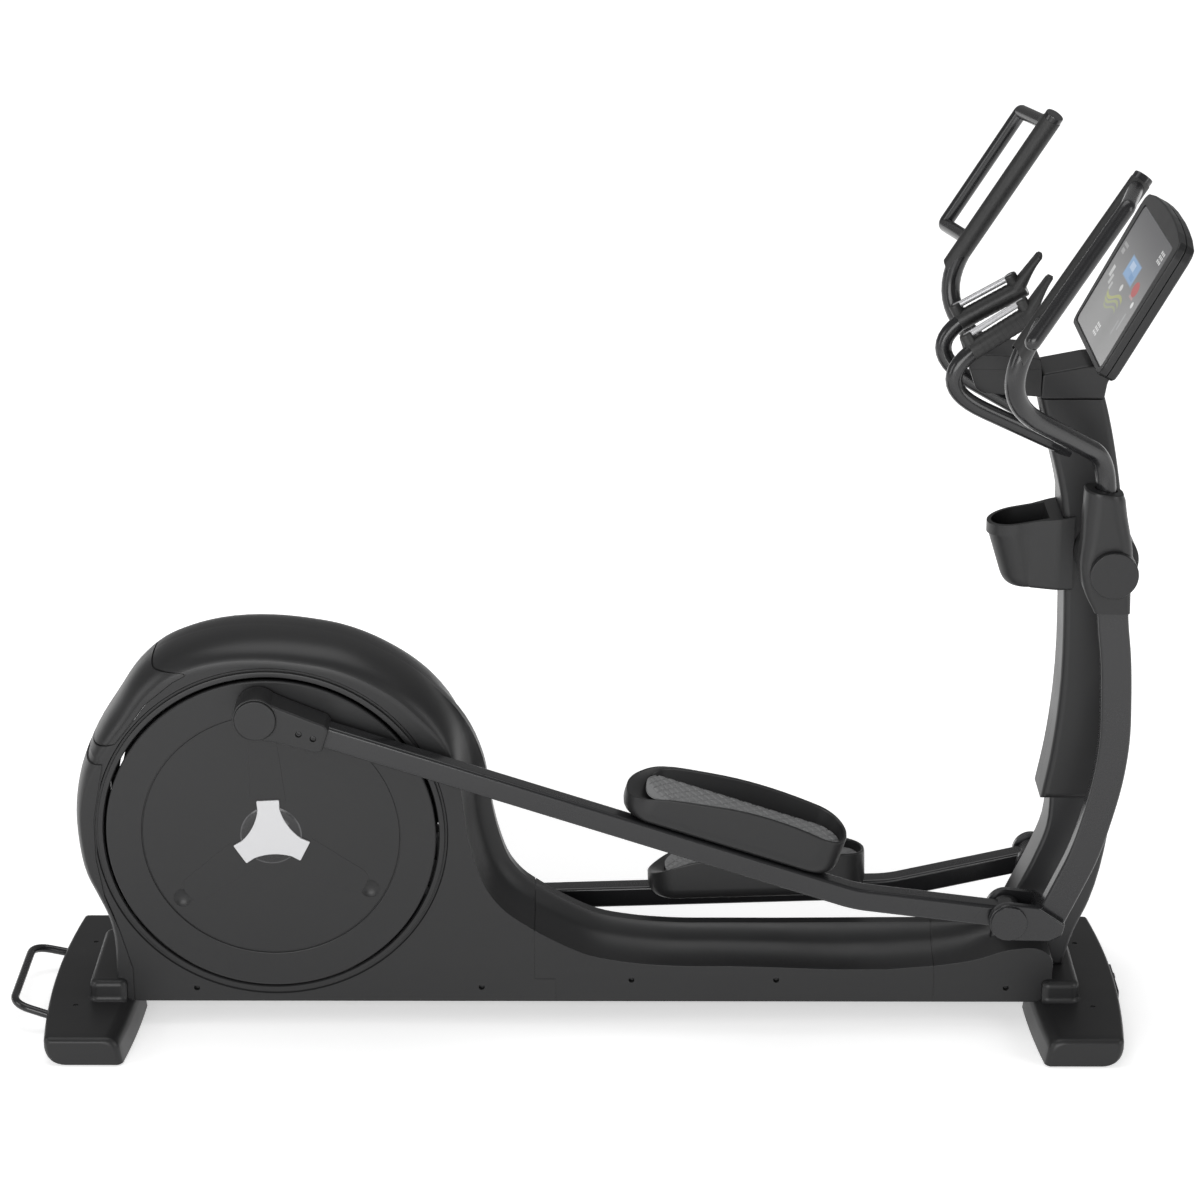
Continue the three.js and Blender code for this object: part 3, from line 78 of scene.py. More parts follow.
def remap(tree, value, fromRange, toRange=(0.0, 1.0), **values):
    node = newNode(tree, "ShaderNodeMapRange", **values)
    feed(tree, value, node.inputs["Value"])
    for name, source in zip(("From Min", "From Max", "To Min", "To Max"), (*fromRange, *toRange)):
        feed(tree, source, node.inputs[name])
    return node.outputs["Result"]


def mixColor(tree, factor, first, second):
    node = newNode(tree, "ShaderNodeMix", data_type="RGBA")
    for source, place in ((factor, 0), (first, 6), (second, 7)):
        feed(tree, source, node.inputs[place])
    return node.outputs[2]


def noise(tree, place, scale, detail):
    node = newNode(tree, "ShaderNodeTexNoise")
    feed(tree, place, node.inputs["Vector"])
    feed(tree, scale, node.inputs["Scale"])
    node.inputs["Detail"].default_value = detail
    return node.outputs["Fac"]


def makeGroup(name, takes, gives):
    # each entry is a socket's name and kind, and for an input the value that it starts with
    tree = bpy.data.node_groups.new(name, "ShaderNodeTree")
    for direction, entries in (("INPUT", takes), ("OUTPUT", gives)):
        for title, kind, *value in entries:
            socket = tree.interface.new_socket(name=title, in_out=direction, socket_type="NodeSocket" + kind)
            if value:
                socket.default_value = value[0]
    return tree, newNode(tree, "NodeGroupInput").outputs, newNode(tree, "NodeGroupOutput").inputs


# camera, floor and light
cameraSetup = {
    "place": (0.065, -6.097, 3.024),
    "pitch": 19.773,
    "turn": 0.194,
    "lens": 103.8,
}
studio = {
    "floorSize": 60.0,
    "floorColor": 0.84,
    "liftNear": 0.50,
    "liftFar": 0.90,
    "liftStart": 0.9,
    "liftStop": 2.4,
    "worldStrength": 0.26,
    "worldColor": (1.0, 1.0, 1.0),
}
# name, place, what it points at, width and height, watts
lamps = [
    ("overheadSoftbox", (-0.2, 0.4, 5.0), (0, 0, 0.6), (4.4, 3.0), 80),
    ("frontSoftbox", (-1.4, -6.2, 2.2), (0, 0, 0.7), (4.5, 3.0), 230),
    ("sideSoftbox", (4.6, -2.5, 2.2), (0.3, 0, 0.8), (2.0, 2.4), 55),
    ("rearSoftbox", (-4.6, -1.5, 2.2), (-0.3, 0, 0.6), (2.0, 2.4), 45),
]


def makeCamera(setup):
    data = bpy.data.cameras.new("camera")
    data.lens = setup["lens"]
    data.sensor_width = 36
    data.clip_end = 200
    camera = bpy.data.objects.new("camera", data)
    bpy.context.scene.collection.objects.link(camera)
    camera.location = setup["place"]
    camera.rotation_euler = (math.radians(90 - setup["pitch"]), 0, math.radians(setup["turn"]))
    bpy.context.scene.camera = camera


def makeLamp(name, place, target, size, power):
    data = bpy.data.lights.new(name, "AREA")
    data.shape = "RECTANGLE"
    data.size, data.size_y = size
    data.energy = power
    lamp = bpy.data.objects.new(name, data)
    bpy.context.scene.collection.objects.link(lamp)
    lamp.location = place
    lamp.rotation_euler = (Vector(target) - Vector(place)).to_track_quat("-Z", "Y").to_euler()


def makeFloor(setup):
    half = setup["floorSize"] / 2
    corners = [(-half, -half, 0), (half, -half, 0), (half, half, 0), (-half, half, 0)]
    mesh = bpy.data.meshes.new("floor")
    mesh.from_pydata(corners, [], [(0, 1, 2, 3)])
    floor = bpy.data.objects.new("floor", mesh)
    bpy.context.scene.collection.objects.link(floor)
    material = bpy.data.materials.new("floorWhite")
    material.use_nodes = True
    tree = material.node_tree
    tree.nodes.clear()
    diffuse = newNode(tree, "ShaderNodeBsdfDiffuse")
    diffuse.inputs["Color"].default_value = (setup["floorColor"],) * 3 + (1,)
    # the lift is seen directly, in reflections and through glass, and lights nothing
    path = newNode(tree, "ShaderNodeLightPath").outputs
    seen = calc(tree, "MAXIMUM", path["Is Camera Ray"], path["Is Glossy Ray"])
    seen = calc(tree, "MAXIMUM", seen, path["Is Transmission Ray"])
    away = vectorCalc(tree, "LENGTH", newNode(tree, "ShaderNodeTexCoord").outputs["Object"])
    level = remap(tree, away, (setup["liftStart"], setup["liftStop"]), (setup["liftNear"], setup["liftFar"]))
    glow = newNode(tree, "ShaderNodeEmission")
    feed(tree, calc(tree, "MULTIPLY", seen, level), glow.inputs["Strength"])
    both = newNode(tree, "ShaderNodeAddShader")
    feed(tree, diffuse.outputs[0], both.inputs[0])
    feed(tree, glow.outputs[0], both.inputs[1])
    feed(tree, both.outputs[0], newNode(tree, "ShaderNodeOutputMaterial").inputs["Surface"])
    mesh.materials.append(material)


def makeWorld(setup):
    world = bpy.data.worlds.new("studio")
    bpy.context.scene.world = world
    world.use_nodes = True
    tree = world.node_tree
    tree.nodes.clear()
    soft = newNode(tree, "ShaderNodeBackground")
    soft.inputs["Color"].default_value = setup["worldColor"] + (1,)
    soft.inputs["Strength"].default_value = setup["worldStrength"]
    feed(tree, soft.outputs[0], newNode(tree, "ShaderNodeOutputWorld").inputs["Surface"])


makeCamera(cameraSetup)
makeFloor(studio)
makeWorld(studio)
for lamp in lamps:
    makeLamp(*lamp)
bpy.context.scene.view_settings.view_transform = "Standard"
print("stage: camera, floor and lights are in")


# finishes: shared groups first, then one material for each look
def makeGrainGroup():
    # moulded or coated surface: fine grain for the bump, slow drift for colour and roughness
    takes = [("Color", "Color", (0.02, 0.02, 0.02, 1)), ("Worn Color", "Color", (0.04, 0.04, 0.04, 1)),
             ("Grain Size", "Float", 1400.0), ("Roughness Low", "Float", 0.36),
             ("Roughness High", "Float", 0.46), ("Drift", "Float", 0.25)]
    gives = [("Color", "Color"), ("Roughness", "Float"), ("Height", "Float")]
    tree, start, end = makeGroup("surfaceGrain", takes, gives)
    place = newNode(tree, "ShaderNodeTexCoord").outputs["Object"]
    grain = noise(tree, place, start["Grain Size"], 3)
    slow = noise(tree, place, 7.0, 5)
    blend = calc(tree, "MULTIPLY_ADD", grain, 0.5, calc(tree, "MULTIPLY", slow, 0.5))
    rough = remap(tree, blend, (0.35, 0.65), (start["Roughness Low"], start["Roughness High"]))
    drift = calc(tree, "MULTIPLY", slow, start["Drift"])
    feed(tree, mixColor(tree, drift, start["Color"], start["Worn Color"]), end["Color"])
    feed(tree, rough, end["Roughness"])
    feed(tree, grain, end["Height"])
    return tree


def makeEdgeWearAndHighlightGroup():
    # a thin lighter line along corners: rubbed wear on most finishes, and on gloss paint a bright painted
    # highlight along the edges
    takes = [("Color", "Color", (0.02, 0.02, 0.02, 1)), ("Rubbed Color", "Color", (0.06, 0.06, 0.06, 1)),
             ("Amount", "Float", 0.5)]
    tree, start, end = makeGroup("edgeWearAndHighlight", takes, [("Color", "Color"), ("Mask", "Float")])
    place = newNode(tree, "ShaderNodeTexCoord").outputs["Object"]
    ridge = remap(tree, newNode(tree, "ShaderNodeNewGeometry").outputs["Pointiness"], (0.545, 0.63))
    patch = calc(tree, "MULTIPLY", ridge, noise(tree, place, 35.0, 2))
    amount = calc(tree, "MULTIPLY", patch, start["Amount"])
    feed(tree, mixColor(tree, amount, start["Color"], start["Rubbed Color"]), end["Color"])
    feed(tree, amount, end["Mask"])
    return tree


grainGroup = makeGrainGroup()
edgeWearAndHighlightGroup = makeEdgeWearAndHighlightGroup()


def makeFinish(name, look):
    material = bpy.data.materials.new(name)
    material.use_nodes = True
    tree = material.node_tree
    shader = tree.nodes["Principled BSDF"]
    shader.inputs["Metallic"].default_value = look.get("metallic", 0.0)
    shader.inputs["Specular IOR Level"].default_value = look.get("specular", 0.5)
    shader.inputs["Coat Weight"].default_value = look.get("coat", 0.0)
    shader.inputs["Coat Roughness"].default_value = look.get("coatRoughness", 0.1)
    grain = newNode(tree, "ShaderNodeGroup", node_tree=grainGroup)
    grain.inputs["Color"].default_value = look["color"] + (1,)
    grain.inputs["Worn Color"].default_value = look["worn"] + (1,)
    grain.inputs["Grain Size"].default_value = look["grain"]
    grain.inputs["Roughness Low"].default_value = look["roughness"][0]
    grain.inputs["Roughness High"].default_value = look["roughness"][1]
    grain.inputs["Drift"].default_value = look.get("drift", 0.3)
    # corners get the edge colour: rubbed wear, and on gloss paint a painted highlight
    wearAndHighlight = newNode(tree, "ShaderNodeGroup", node_tree=edgeWearAndHighlightGroup)
    wearAndHighlight.inputs["Rubbed Color"].default_value = look.get("edgeWearAndHighlightColor", look["worn"]) + (1,)
    wearAndHighlight.inputs["Amount"].default_value = look.get("wearAndHighlight", 0.5)
    feed(tree, grain.outputs["Color"], wearAndHighlight.inputs["Color"])
    feed(tree, wearAndHighlight.outputs["Color"], shader.inputs["Base Color"])
    feed(tree, grain.outputs["Roughness"], shader.inputs["Roughness"])
    bump = newNode(tree, "ShaderNodeBump")
    bump.inputs["Strength"].default_value = look.get("bump", 0.08)
    bump.inputs["Distance"].default_value = look.get("bumpDepth", 0.0003)
    feed(tree, grain.outputs["Height"], bump.inputs["Height"])
    feed(tree, bump.outputs["Normal"], shader.inputs["Normal"])
    return material


looks = {
    "shellPlastic": {"color": (0.015, 0.015, 0.0155), "worn": (0.021, 0.021, 0.0215), "grain": 1500.0,
                     "roughness": (0.34, 0.44), "bump": 0.08, "specular": 0.36},
    # gloss paint: its near-white edge colour is a painted highlight along the corners, not wear
    "glossPaint": {"color": (0.013, 0.013, 0.014), "worn": (0.018, 0.018, 0.019), "grain": 900.0,
                   "roughness": (0.22, 0.30), "bump": 0.03, "specular": 0.38,
                   "coat": 0.22, "coatRoughness": 0.06, "edgeWearAndHighlightColor": (0.30, 0.30, 0.31), "wearAndHighlight": 0.9},
    "framePaint": {"color": (0.015, 0.015, 0.016), "worn": (0.022, 0.022, 0.023), "grain": 1200.0,
                   "roughness": (0.30, 0.40), "bump": 0.06},
    "gripRubber": {"color": (0.012, 0.012, 0.012), "worn": (0.018, 0.018, 0.018), "grain": 1100.0,
                   "roughness": (0.42, 0.56), "bump": 0.20},
    "treadRubber": {"color": (0.180, 0.181, 0.183), "worn": (0.260, 0.261, 0.263), "grain": 800.0,
                    "roughness": (0.55, 0.72), "bump": 0.25},
    "brushedSteel": {"color": (0.50, 0.50, 0.51), "worn": (0.42, 0.42, 0.43), "grain": 600.0,
                     "roughness": (0.42, 0.54), "metallic": 0.75, "bump": 0.05},
    "machinedIron": {"color": (0.16, 0.16, 0.165), "worn": (0.11, 0.11, 0.112), "grain": 500.0,
                     "roughness": (0.38, 0.55), "metallic": 1.0, "bump": 0.12},
    "silverPlate": {"color": (0.62, 0.62, 0.63), "worn": (0.52, 0.52, 0.53), "grain": 900.0,
                    "roughness": (0.30, 0.44), "metallic": 0.25, "bump": 0.06},
    "darkGlass": {"color": (0.020, 0.021, 0.023), "worn": (0.024, 0.025, 0.027), "grain": 300.0,
                  "roughness": (0.05, 0.09), "bump": 0.0},
}
screenLook = {
    "low": (0.36, 0.36, 0.36), "high": (0.12, 0.12, 0.125), "glow": 0.18, "roughness": 0.12,
    # kind, centre across, centre up, half width, half height, colour, how strong
    "marks": [
        ("tile", 0.50, 0.62, 0.150, 0.085, (0.30, 0.47, 0.72), 0.95),
        ("tile", 0.47, 0.645, 0.060, 0.030, (0.62, 0.74, 0.90), 0.7),
        ("tile", 0.56, 0.585, 0.050, 0.022, (0.20, 0.36, 0.62), 0.7),
        ("round", 0.77, 0.565, 0.070, 0.060, (0.56, 0.13, 0.13), 0.9),
        ("tile", 0.77, 0.50, 0.050, 0.010, (0.62, 0.40, 0.40), 0.7),
        ("tile", 0.12, 0.475, 0.030, 0.045, (0.80, 0.80, 0.80), 0.8),
        ("tile", 0.19, 0.430, 0.025, 0.040, (0.74, 0.74, 0.74), 0.7),
        ("tile", 0.26, 0.400, 0.022, 0.030, (0.70, 0.70, 0.70), 0.6),
        ("tile", 0.10, 0.640, 0.040, 0.020, (0.60, 0.60, 0.60), 0.5),
        ("tile", 0.10, 0.690, 0.060, 0.014, (0.52, 0.52, 0.52), 0.5),
        ("round", 0.49, 0.470, 0.030, 0.028, (0.85, 0.85, 0.85), 0.8),
        ("round", 0.875, 0.477, 0.026, 0.026, (0.88, 0.88, 0.88), 0.9),
        ("tile", 0.86, 0.330, 0.014, 0.070, (0.52, 0.52, 0.54), 0.6),
        ("tile", 0.80, 0.260, 0.014, 0.060, (0.50, 0.50, 0.52), 0.5),
        ("stroke", 0.46, 0.380, 0.200, 0.014, (0.52, 0.54, 0.22), 0.8),
        ("stroke", 0.46, 0.340, 0.180, 0.012, (0.48, 0.52, 0.24), 0.7),
        ("stroke", 0.48, 0.300, 0.160, 0.010, (0.46, 0.50, 0.26), 0.6),
    ],
}
for column in range(3):
    for row in range(3):
        screenLook["marks"].append(("round", 0.46 + 0.035 * column, 0.085 + 0.034 * row, 0.013, 0.014,
                                    (0.9, 0.9, 0.9), 0.9))
        screenLook["marks"].append(("tile", 0.845 + 0.035 * column, 0.842 + 0.034 * row, 0.012, 0.013,
                                    (0.86, 0.86, 0.86), 0.8))


def makeMarkGroup(kind):
    # a soft-edged mark on the screen: 1 inside, 0 outside
    takes = [("Plan", "Vector"), ("Center", "Vector"), ("Half", "Vector", (0.1, 0.1, 1))]
    tree, start, end = makeGroup("screen" + kind.capitalize(), takes, [("Mask", "Float")])
    away = vectorCalc(tree, "SUBTRACT", start["Plan"], start["Center"])
    parts = newNode(tree, "ShaderNodeSeparateXYZ")
    feed(tree, vectorCalc(tree, "DIVIDE", away, start["Half"]), parts.inputs[0])
    across, up = parts.outputs[0], parts.outputs[1]
    if kind == "stroke":
        # a wave: the height follows the sine of the way across
        wave = calc(tree, "SINE", calc(tree, "MULTIPLY", across, 2.6))
        up = calc(tree, "MULTIPLY_ADD", wave, -3.0, up)
    across, up = calc(tree, "ABSOLUTE", across), calc(tree, "ABSOLUTE", up)
    if kind == "round":
        flat = newNode(tree, "ShaderNodeCombineXYZ")
        feed(tree, across, flat.inputs[0])
        feed(tree, up, flat.inputs[1])
        far = vectorCalc(tree, "LENGTH", flat.outputs[0])
    else:
        far = calc(tree, "MAXIMUM", across, up)
    feed(tree, remap(tree, far, (1.08, 0.85), interpolation_type="SMOOTHSTEP"), end["Mask"])
    return tree


def makeScreenFinish(look):
    material = bpy.data.materials.new("screenFace")
    material.use_nodes = True
    tree = material.node_tree
    shader = tree.nodes["Principled BSDF"]
    groups = {kind: makeMarkGroup(kind) for kind in ("tile", "round", "stroke")}
    plan = newNode(tree, "ShaderNodeUVMap", uv_map="screenPlan")
    parts = newNode(tree, "ShaderNodeSeparateXYZ")
    feed(tree, plan.outputs[0], parts.inputs[0])
    fall = remap(tree, parts.outputs[1], (0.25, 1.05), interpolation_type="SMOOTHSTEP")
    color = mixColor(tree, fall, look["low"] + (1,), look["high"] + (1,))
    for kind, across, up, halfAcross, halfUp, tint, strength in look["marks"]:
        mark = newNode(tree, "ShaderNodeGroup", node_tree=groups[kind])
        mark.inputs["Center"].default_value = (across, up, 0)
        mark.inputs["Half"].default_value = (halfAcross, halfUp, 1)
        feed(tree, plan.outputs[0], mark.inputs["Plan"])
        color = mixColor(tree, calc(tree, "MULTIPLY", mark.outputs[0], strength), color, tint + (1,))
    feed(tree, color, shader.inputs["Base Color"])
    feed(tree, color, shader.inputs["Emission Color"])
    shader.inputs["Emission Strength"].default_value = look["glow"]
    shader.inputs["Roughness"].default_value = look["roughness"]
    return material


finishes = {name: makeFinish(name, look) for name, look in looks.items()}
finishes["screenFace"] = makeScreenFinish(screenLook)
slotFinish = {
    "painted_steel": "framePaint", "gloss_steel": "glossPaint", "bare_steel": "brushedSteel",
    "cast_steel": "machinedIron", "shell_plastic": "shellPlastic", "silver_plastic": "silverPlate",
    "grip_rubber": "gripRubber", "tread_rubber": "treadRubber", "screen": "darkGlass",
}
slotOf = {entry["node"]: entry["material_slot"] for entry in frame["record"]["subparts"]}
print("stage: finishes are made")


# mesh tools: sizes are in millimetres until toScene turns them into metres
clearance = 0.3  # left round a piece that fits into another one


def objectFrom(name, mesh):
    piece = bpy.data.objects.new(name, mesh)
    bpy.context.scene.collection.objects.link(piece)
    return piece


def meshFrom(name, points, faces):
    mesh = bpy.data.meshes.new(name)
    mesh.from_pydata([tuple(p) for p in points], [], faces)
    mesh.update()
    return objectFrom(name, mesh)


def smoothThrough(points, perSpan):
    # a curve through the points, of any number of coordinates, that doesn't overshoot uneven spans
    count = len(points)
    size = len(points[0])

    def dist(a, b):
        # rows of four hold a place in two coordinates and two shares
        used = 3 if size == 3 else 2
        return max(1e-6, math.dist(points[a][:used], points[b][:used]))

    slopes = []
    for i in range(count):
        before = max(i - 1, 0)
        after = min(i + 1, count - 1)
        d0 = dist(before, i) if before != i else dist(i, after)
        d1 = dist(i, after) if after != i else d0
        slope = []
        for k in range(size):
            left = (points[i][k] - points[before][k]) / d0
            right = (points[after][k] - points[i][k]) / d1
            if before == i:
                left = right
            if after == i:
                right = left
            slope.append((left * d1 + right * d0) / (d0 + d1))
        slopes.append(slope)
    made = []
    for i in range(count - 1):
        j = i + 1
        span = dist(i, j)
        for step in range(perSpan):
            t = step / perSpan
            h00 = (1 + 2 * t) * (1 - t) ** 2
            h10 = t * (1 - t) ** 2
            h01 = t * t * (3 - 2 * t)
            h11 = t * t * (t - 1)
            made.append([h00 * points[i][k] + h10 * span * slopes[i][k] + h01 * points[j][k]
                         + h11 * span * slopes[j][k] for k in range(size)])
    made.append(list(points[-1]))
    return made


def arc(cx, cy, radius, start, stop, steps):
    return [[cx + radius * math.cos(math.radians(start + (stop - start) * i / steps)),
             cy + radius * math.sin(math.radians(start + (stop - start) * i / steps))]
            for i in range(steps + 1)]


def roundedRect(x0, y0, x1, y1, radius, steps=6):
    return (arc(x1 - radius, y1 - radius, radius, 0, 90, steps)
            + arc(x0 + radius, y1 - radius, radius, 90, 180, steps)
            + arc(x0 + radius, y0 + radius, radius, 180, 270, steps)
            + arc(x1 - radius, y0 + radius, radius, 270, 360, steps))


def roundedOutline(points, radii, steps=5):
    # a polygon with its corners rounded; radii is one number or one for each corner
    made = []
    count = len(points)
    for i, corner in enumerate(points):
        radius = radii if isinstance(radii, (int, float)) else radii[i]
        here = Vector(corner)
        before = Vector(points[i - 1]) - here
        after = Vector(points[(i + 1) % count]) - here
        if radius <= 0 or before.length < 1e-6 or after.length < 1e-6:
            made.append(list(corner))
            continue
        half = before.angle(after) / 2
        reach = min(radius / math.tan(half), 0.48 * before.length, 0.48 * after.length)
        start = here + before.normalized() * reach
        stop = here + after.normalized() * reach
        for step in range(steps + 1):
            t = step / steps
            made.append(list(start * (1 - t) ** 2 + here * 2 * t * (1 - t) + stop * t * t))
    return made


def placed(axis, u, v, w):
    # outline coordinates u, v and height w along the axis, right-handed
    if axis == "Y":
        return (u, w, v)
    if axis == "X":
        return (w, u, v)
    return (u, v, w)


def prism(name, outline, axis, low, high, rounding=0.0, steps=3):
    count = len(outline)
    area = sum(outline[i][0] * outline[(i + 1) % count][1] - outline[(i + 1) % count][0] * outline[i][1]
               for i in range(count))
    run = outline if area > 0 else outline[::-1]
    points = [placed(axis, u, v, low) for u, v in run] + [placed(axis, u, v, high) for u, v in run]
    flip = axis == "Y"
    bottom = list(range(count))
    top = list(range(count, 2 * count))
    walls = [(i, (i + 1) % count, count + (i + 1) % count, count + i) for i in range(count)]
    faces = [tuple(bottom[::-1]), tuple(top)] + walls
    if flip:
        faces = [tuple(reversed(face)) for face in faces]
    piece = meshFrom(name, points, faces)
    if rounding > 0:
        work = bmesh.new()
        work.from_mesh(piece.data)
        work.faces.ensure_lookup_table()
        # the first two faces are the caps
        rims = list({edge for cap in (work.faces[0], work.faces[1]) for edge in cap.edges})
        bmesh.ops.bevel(work, geom=rims, offset=rounding, segments=steps, profile=0.5, affect="EDGES",
                        clamp_overlap=True)
        work.to_mesh(piece.data)
        work.free()
    return piece


def faceOutwards(piece):
    work = bmesh.new()
    work.from_mesh(piece.data)
    bmesh.ops.recalc_face_normals(work, faces=work.faces)
    work.to_mesh(piece.data)
    work.free()
    return piece


def loft(name, rings):
    count = len(rings[0])
    points = [tuple(p) for ring in rings for p in ring]
    faces = []
    for j in range(len(rings) - 1):
        for i in range(count):
            a = j * count + i
            b = j * count + (i + 1) % count
            faces.append((a, b, b + count, a + count))
    faces.append(tuple(range(count))[::-1])
    last = (len(rings) - 1) * count
    faces.append(tuple(last + i for i in range(count)))
    return faceOutwards(meshFrom(name, points, faces))


def lathe(name, profile, cx, cz, steps=96):
    # profile points are (radius, y); the axis runs along Y through cx, cz
    rings = []
    for radius, y in profile:
        rings.append([(cx + radius * math.cos(2 * math.pi * i / steps), y,
                       cz + radius * math.sin(2 * math.pi * i / steps)) for i in range(steps)])
    return loft(name, rings)


def ringLathe(name, profile, cx, cz, steps=120):
    # a closed profile round an open middle
    count = len(profile)
    points = []
    for i in range(steps):
        turn = 2 * math.pi * i / steps
        points += [(cx + r * math.cos(turn), y, cz + r * math.sin(turn)) for r, y in profile]
    faces = []
    for i in range(steps):
        for k in range(count):
            a = i * count + k
            b = i * count + (k + 1) % count
            c = ((i + 1) % steps) * count + (k + 1) % count
            d = ((i + 1) % steps) * count + k
            faces.append((a, b, c, d))
    return faceOutwards(meshFrom(name, points, faces))


def drum(name, cx, cz, radius, low, high, rounding=0.0, steps=64):
    return prism(name, arc(cx, cz, radius, 0, 360 - 360 / steps, steps - 1), "Y", low, high, rounding)


def bentPath(points, radii, bendSteps=14):
    stops = [Vector(p) for p in points]
    path = [stops[0]]
    for i in range(1, len(stops) - 1):
        back = (stops[i - 1] - stops[i]).normalized()
        ahead = (stops[i + 1] - stops[i]).normalized()
        reach = radii[i - 1] / math.tan(back.angle(ahead) / 2)
        enter = stops[i] + back * reach
        leave = stops[i] + ahead * reach
        for k in range(bendSteps + 1):
            t = k / bendSteps
            path.append(enter * (1 - t) ** 2 + stops[i] * 2 * t * (1 - t) + leave * t * t)
    path.append(stops[-1])
    dense = [path[0]]
    for a, b in zip(path, path[1:]):
        # straight stretches are cut about every 24 mm
        parts = max(1, int((b - a).length / 24))
        dense += [a.lerp(b, k / parts) for k in range(1, parts + 1)]
    return [p for i, p in enumerate(dense) if i == 0 or (p - dense[i - 1]).length > 0.01]


def sweep(name, path, section, up=None, endRounding=0.0):
    # section is a list of (side, up) offsets; frames are carried along the path without twist
    tangents = []
    for i in range(len(path)):
        a = path[max(i - 1, 0)]
        b = path[min(i + 1, len(path) - 1)]
        tangents.append((b - a).normalized())
    normal = Vector(up) if up else Vector((0, 1, 0))
    if abs(normal.dot(tangents[0])) > 0.95:
        normal = Vector((1, 0, 0))
    rings = []
    for point, along in zip(path, tangents):
        normal = (normal - along * normal.dot(along)).normalized()
        across = along.cross(normal)
        rings.append([point + across * u + normal * v for u, v in section])
    if endRounding > 0:
        for end, inward in ((0, 1), (-1, -1)):
            point = path[end]
            along = tangents[end] * inward
            ring = rings[end]
            made = []
            for drop, inset in ((0.0, endRounding), (0.3 * endRounding, 0.3 * endRounding),
                                (endRounding, 0.0)):
                made.append([p + along * drop + (point - p).normalized() * inset for p in ring])
            if end == 0:
                rings = made + rings[1:]
            else:
                rings = rings[:-1] + made[::-1]
    return loft(name, rings)


def pipe(name, points, radii, radius, steps=28, endRounding=1.5):
    path = bentPath(points, radii)
    section = [(radius * math.cos(2 * math.pi * i / steps), radius * math.sin(2 * math.pi * i / steps))
               for i in range(steps)]
    return sweep(name, path, section, endRounding=endRounding)


def carve(piece, *tools, mode="DIFFERENCE"):
    for tool in tools:
        change = piece.modifiers.new("carve", "BOOLEAN")
        change.object = tool
        change.operation = mode
        change.solver = "MANIFOLD"
        graph = bpy.context.evaluated_depsgraph_get()
        made = bpy.data.meshes.new_from_object(piece.evaluated_get(graph))
        piece.modifiers.clear()
        piece.data = made
        bpy.data.objects.remove(tool)
    return piece


def fuse(piece, *others):
    return carve(piece, *others, mode="UNION")


def keep(piece, *tools):
    return carve(piece, *tools, mode="INTERSECT")


def mirrored(piece, side):
    # the piece itself on the right side, turned over to the left side
    if side > 0:
        piece.data.transform(Matrix.Scale(-1, 4, (0, 1, 0)))
        piece.data.flip_normals()
    return piece


def twin(piece, name):
    return objectFrom(name, piece.data.copy())


def toScene(piece, side=-1, place=None):
    # mirrors a piece drawn on the -Y side, scales it to metres and puts it in its place
    change = Matrix.Scale(mm, 4)
    if side > 0:
        change = change @ Matrix.Scale(-1, 4, (0, 1, 0))
    if place is not None:
        change = place @ change
    piece.data.transform(change)
    if side > 0:
        piece.data.flip_normals()
    return piece


def softenNormals(mesh, angle=32):
    work = bmesh.new()
    work.from_mesh(mesh)
    for face in work.faces:
        face.smooth = True
    for edge in work.edges:
        edge.smooth = len(edge.link_faces) == 2 and edge.calc_face_angle(0) < math.radians(angle)
    work.to_mesh(mesh)
    work.free()


built = set()


def finishPiece(piece, body, look, stands=(), angle=32, bevel=0.0):
    softenNormals(piece.data, angle)
    if bevel > 0:
        rounding = piece.modifiers.new("rounding", "BEVEL")
        rounding.width = bevel
        rounding.segments = 2
        rounding.limit_method = "ANGLE"
        rounding.angle_limit = math.radians(38)
        rounding.harden_normals = False
    weighted = piece.modifiers.new("faceNormals", "WEIGHTED_NORMAL")
    weighted.keep_sharp = True
    piece.data.materials.clear()
    piece.data.materials.append(finishes[look])
    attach(piece, body)
    if stands:
        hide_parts(*stands)
        built.update(stands)
    return piece


bodyOf = {node: body for body, members in frame["record"]["behaviour"]["bodies"].items()
          for node in members}


def dressNode(node, bevel=0.0006, angle=32):
    mesh = nodes[node].data.copy()
    mesh.name = node + "_dressed"
    work = bmesh.new()
    work.from_mesh(mesh)
    bmesh.ops.remove_doubles(work, verts=work.verts, dist=0.00002)
    bmesh.ops.dissolve_limit(work, angle_limit=math.radians(0.4), verts=work.verts, edges=work.edges)
    work.to_mesh(mesh)
    work.free()
    piece = objectFrom(node + "_skin", mesh)
    slot = slotOf[node]
    return finishPiece(piece, bodyOf[node], slotFinish[slot], stands=[node], angle=angle, bevel=bevel)


# the linkage at rest, from the frame's own joints
def jointPlace(name):
    spot = next(j for j in frame["joints"] if j["name"] == name)["pos_m"]
    return spot[0] / mm, spot[2] / mm


axleX, axleZ = jointPlace("crank_spin")
pivotX, pivotZ = jointPlace("right_arm_swing")
crank = {"radius": 262, "angle": 93.2}
pedalArm = {"rear": 1175, "front": 289, "bend": 11, "height": 43, "inner": 130, "outer": 170}
bendX = -pedalArm["front"] * math.cos(math.radians(pedalArm["bend"]))
bendZ = -pedalArm["front"] * math.sin(math.radians(pedalArm["bend"]))
pinX, pinZ = bendX - pedalArm["rear"], bendZ


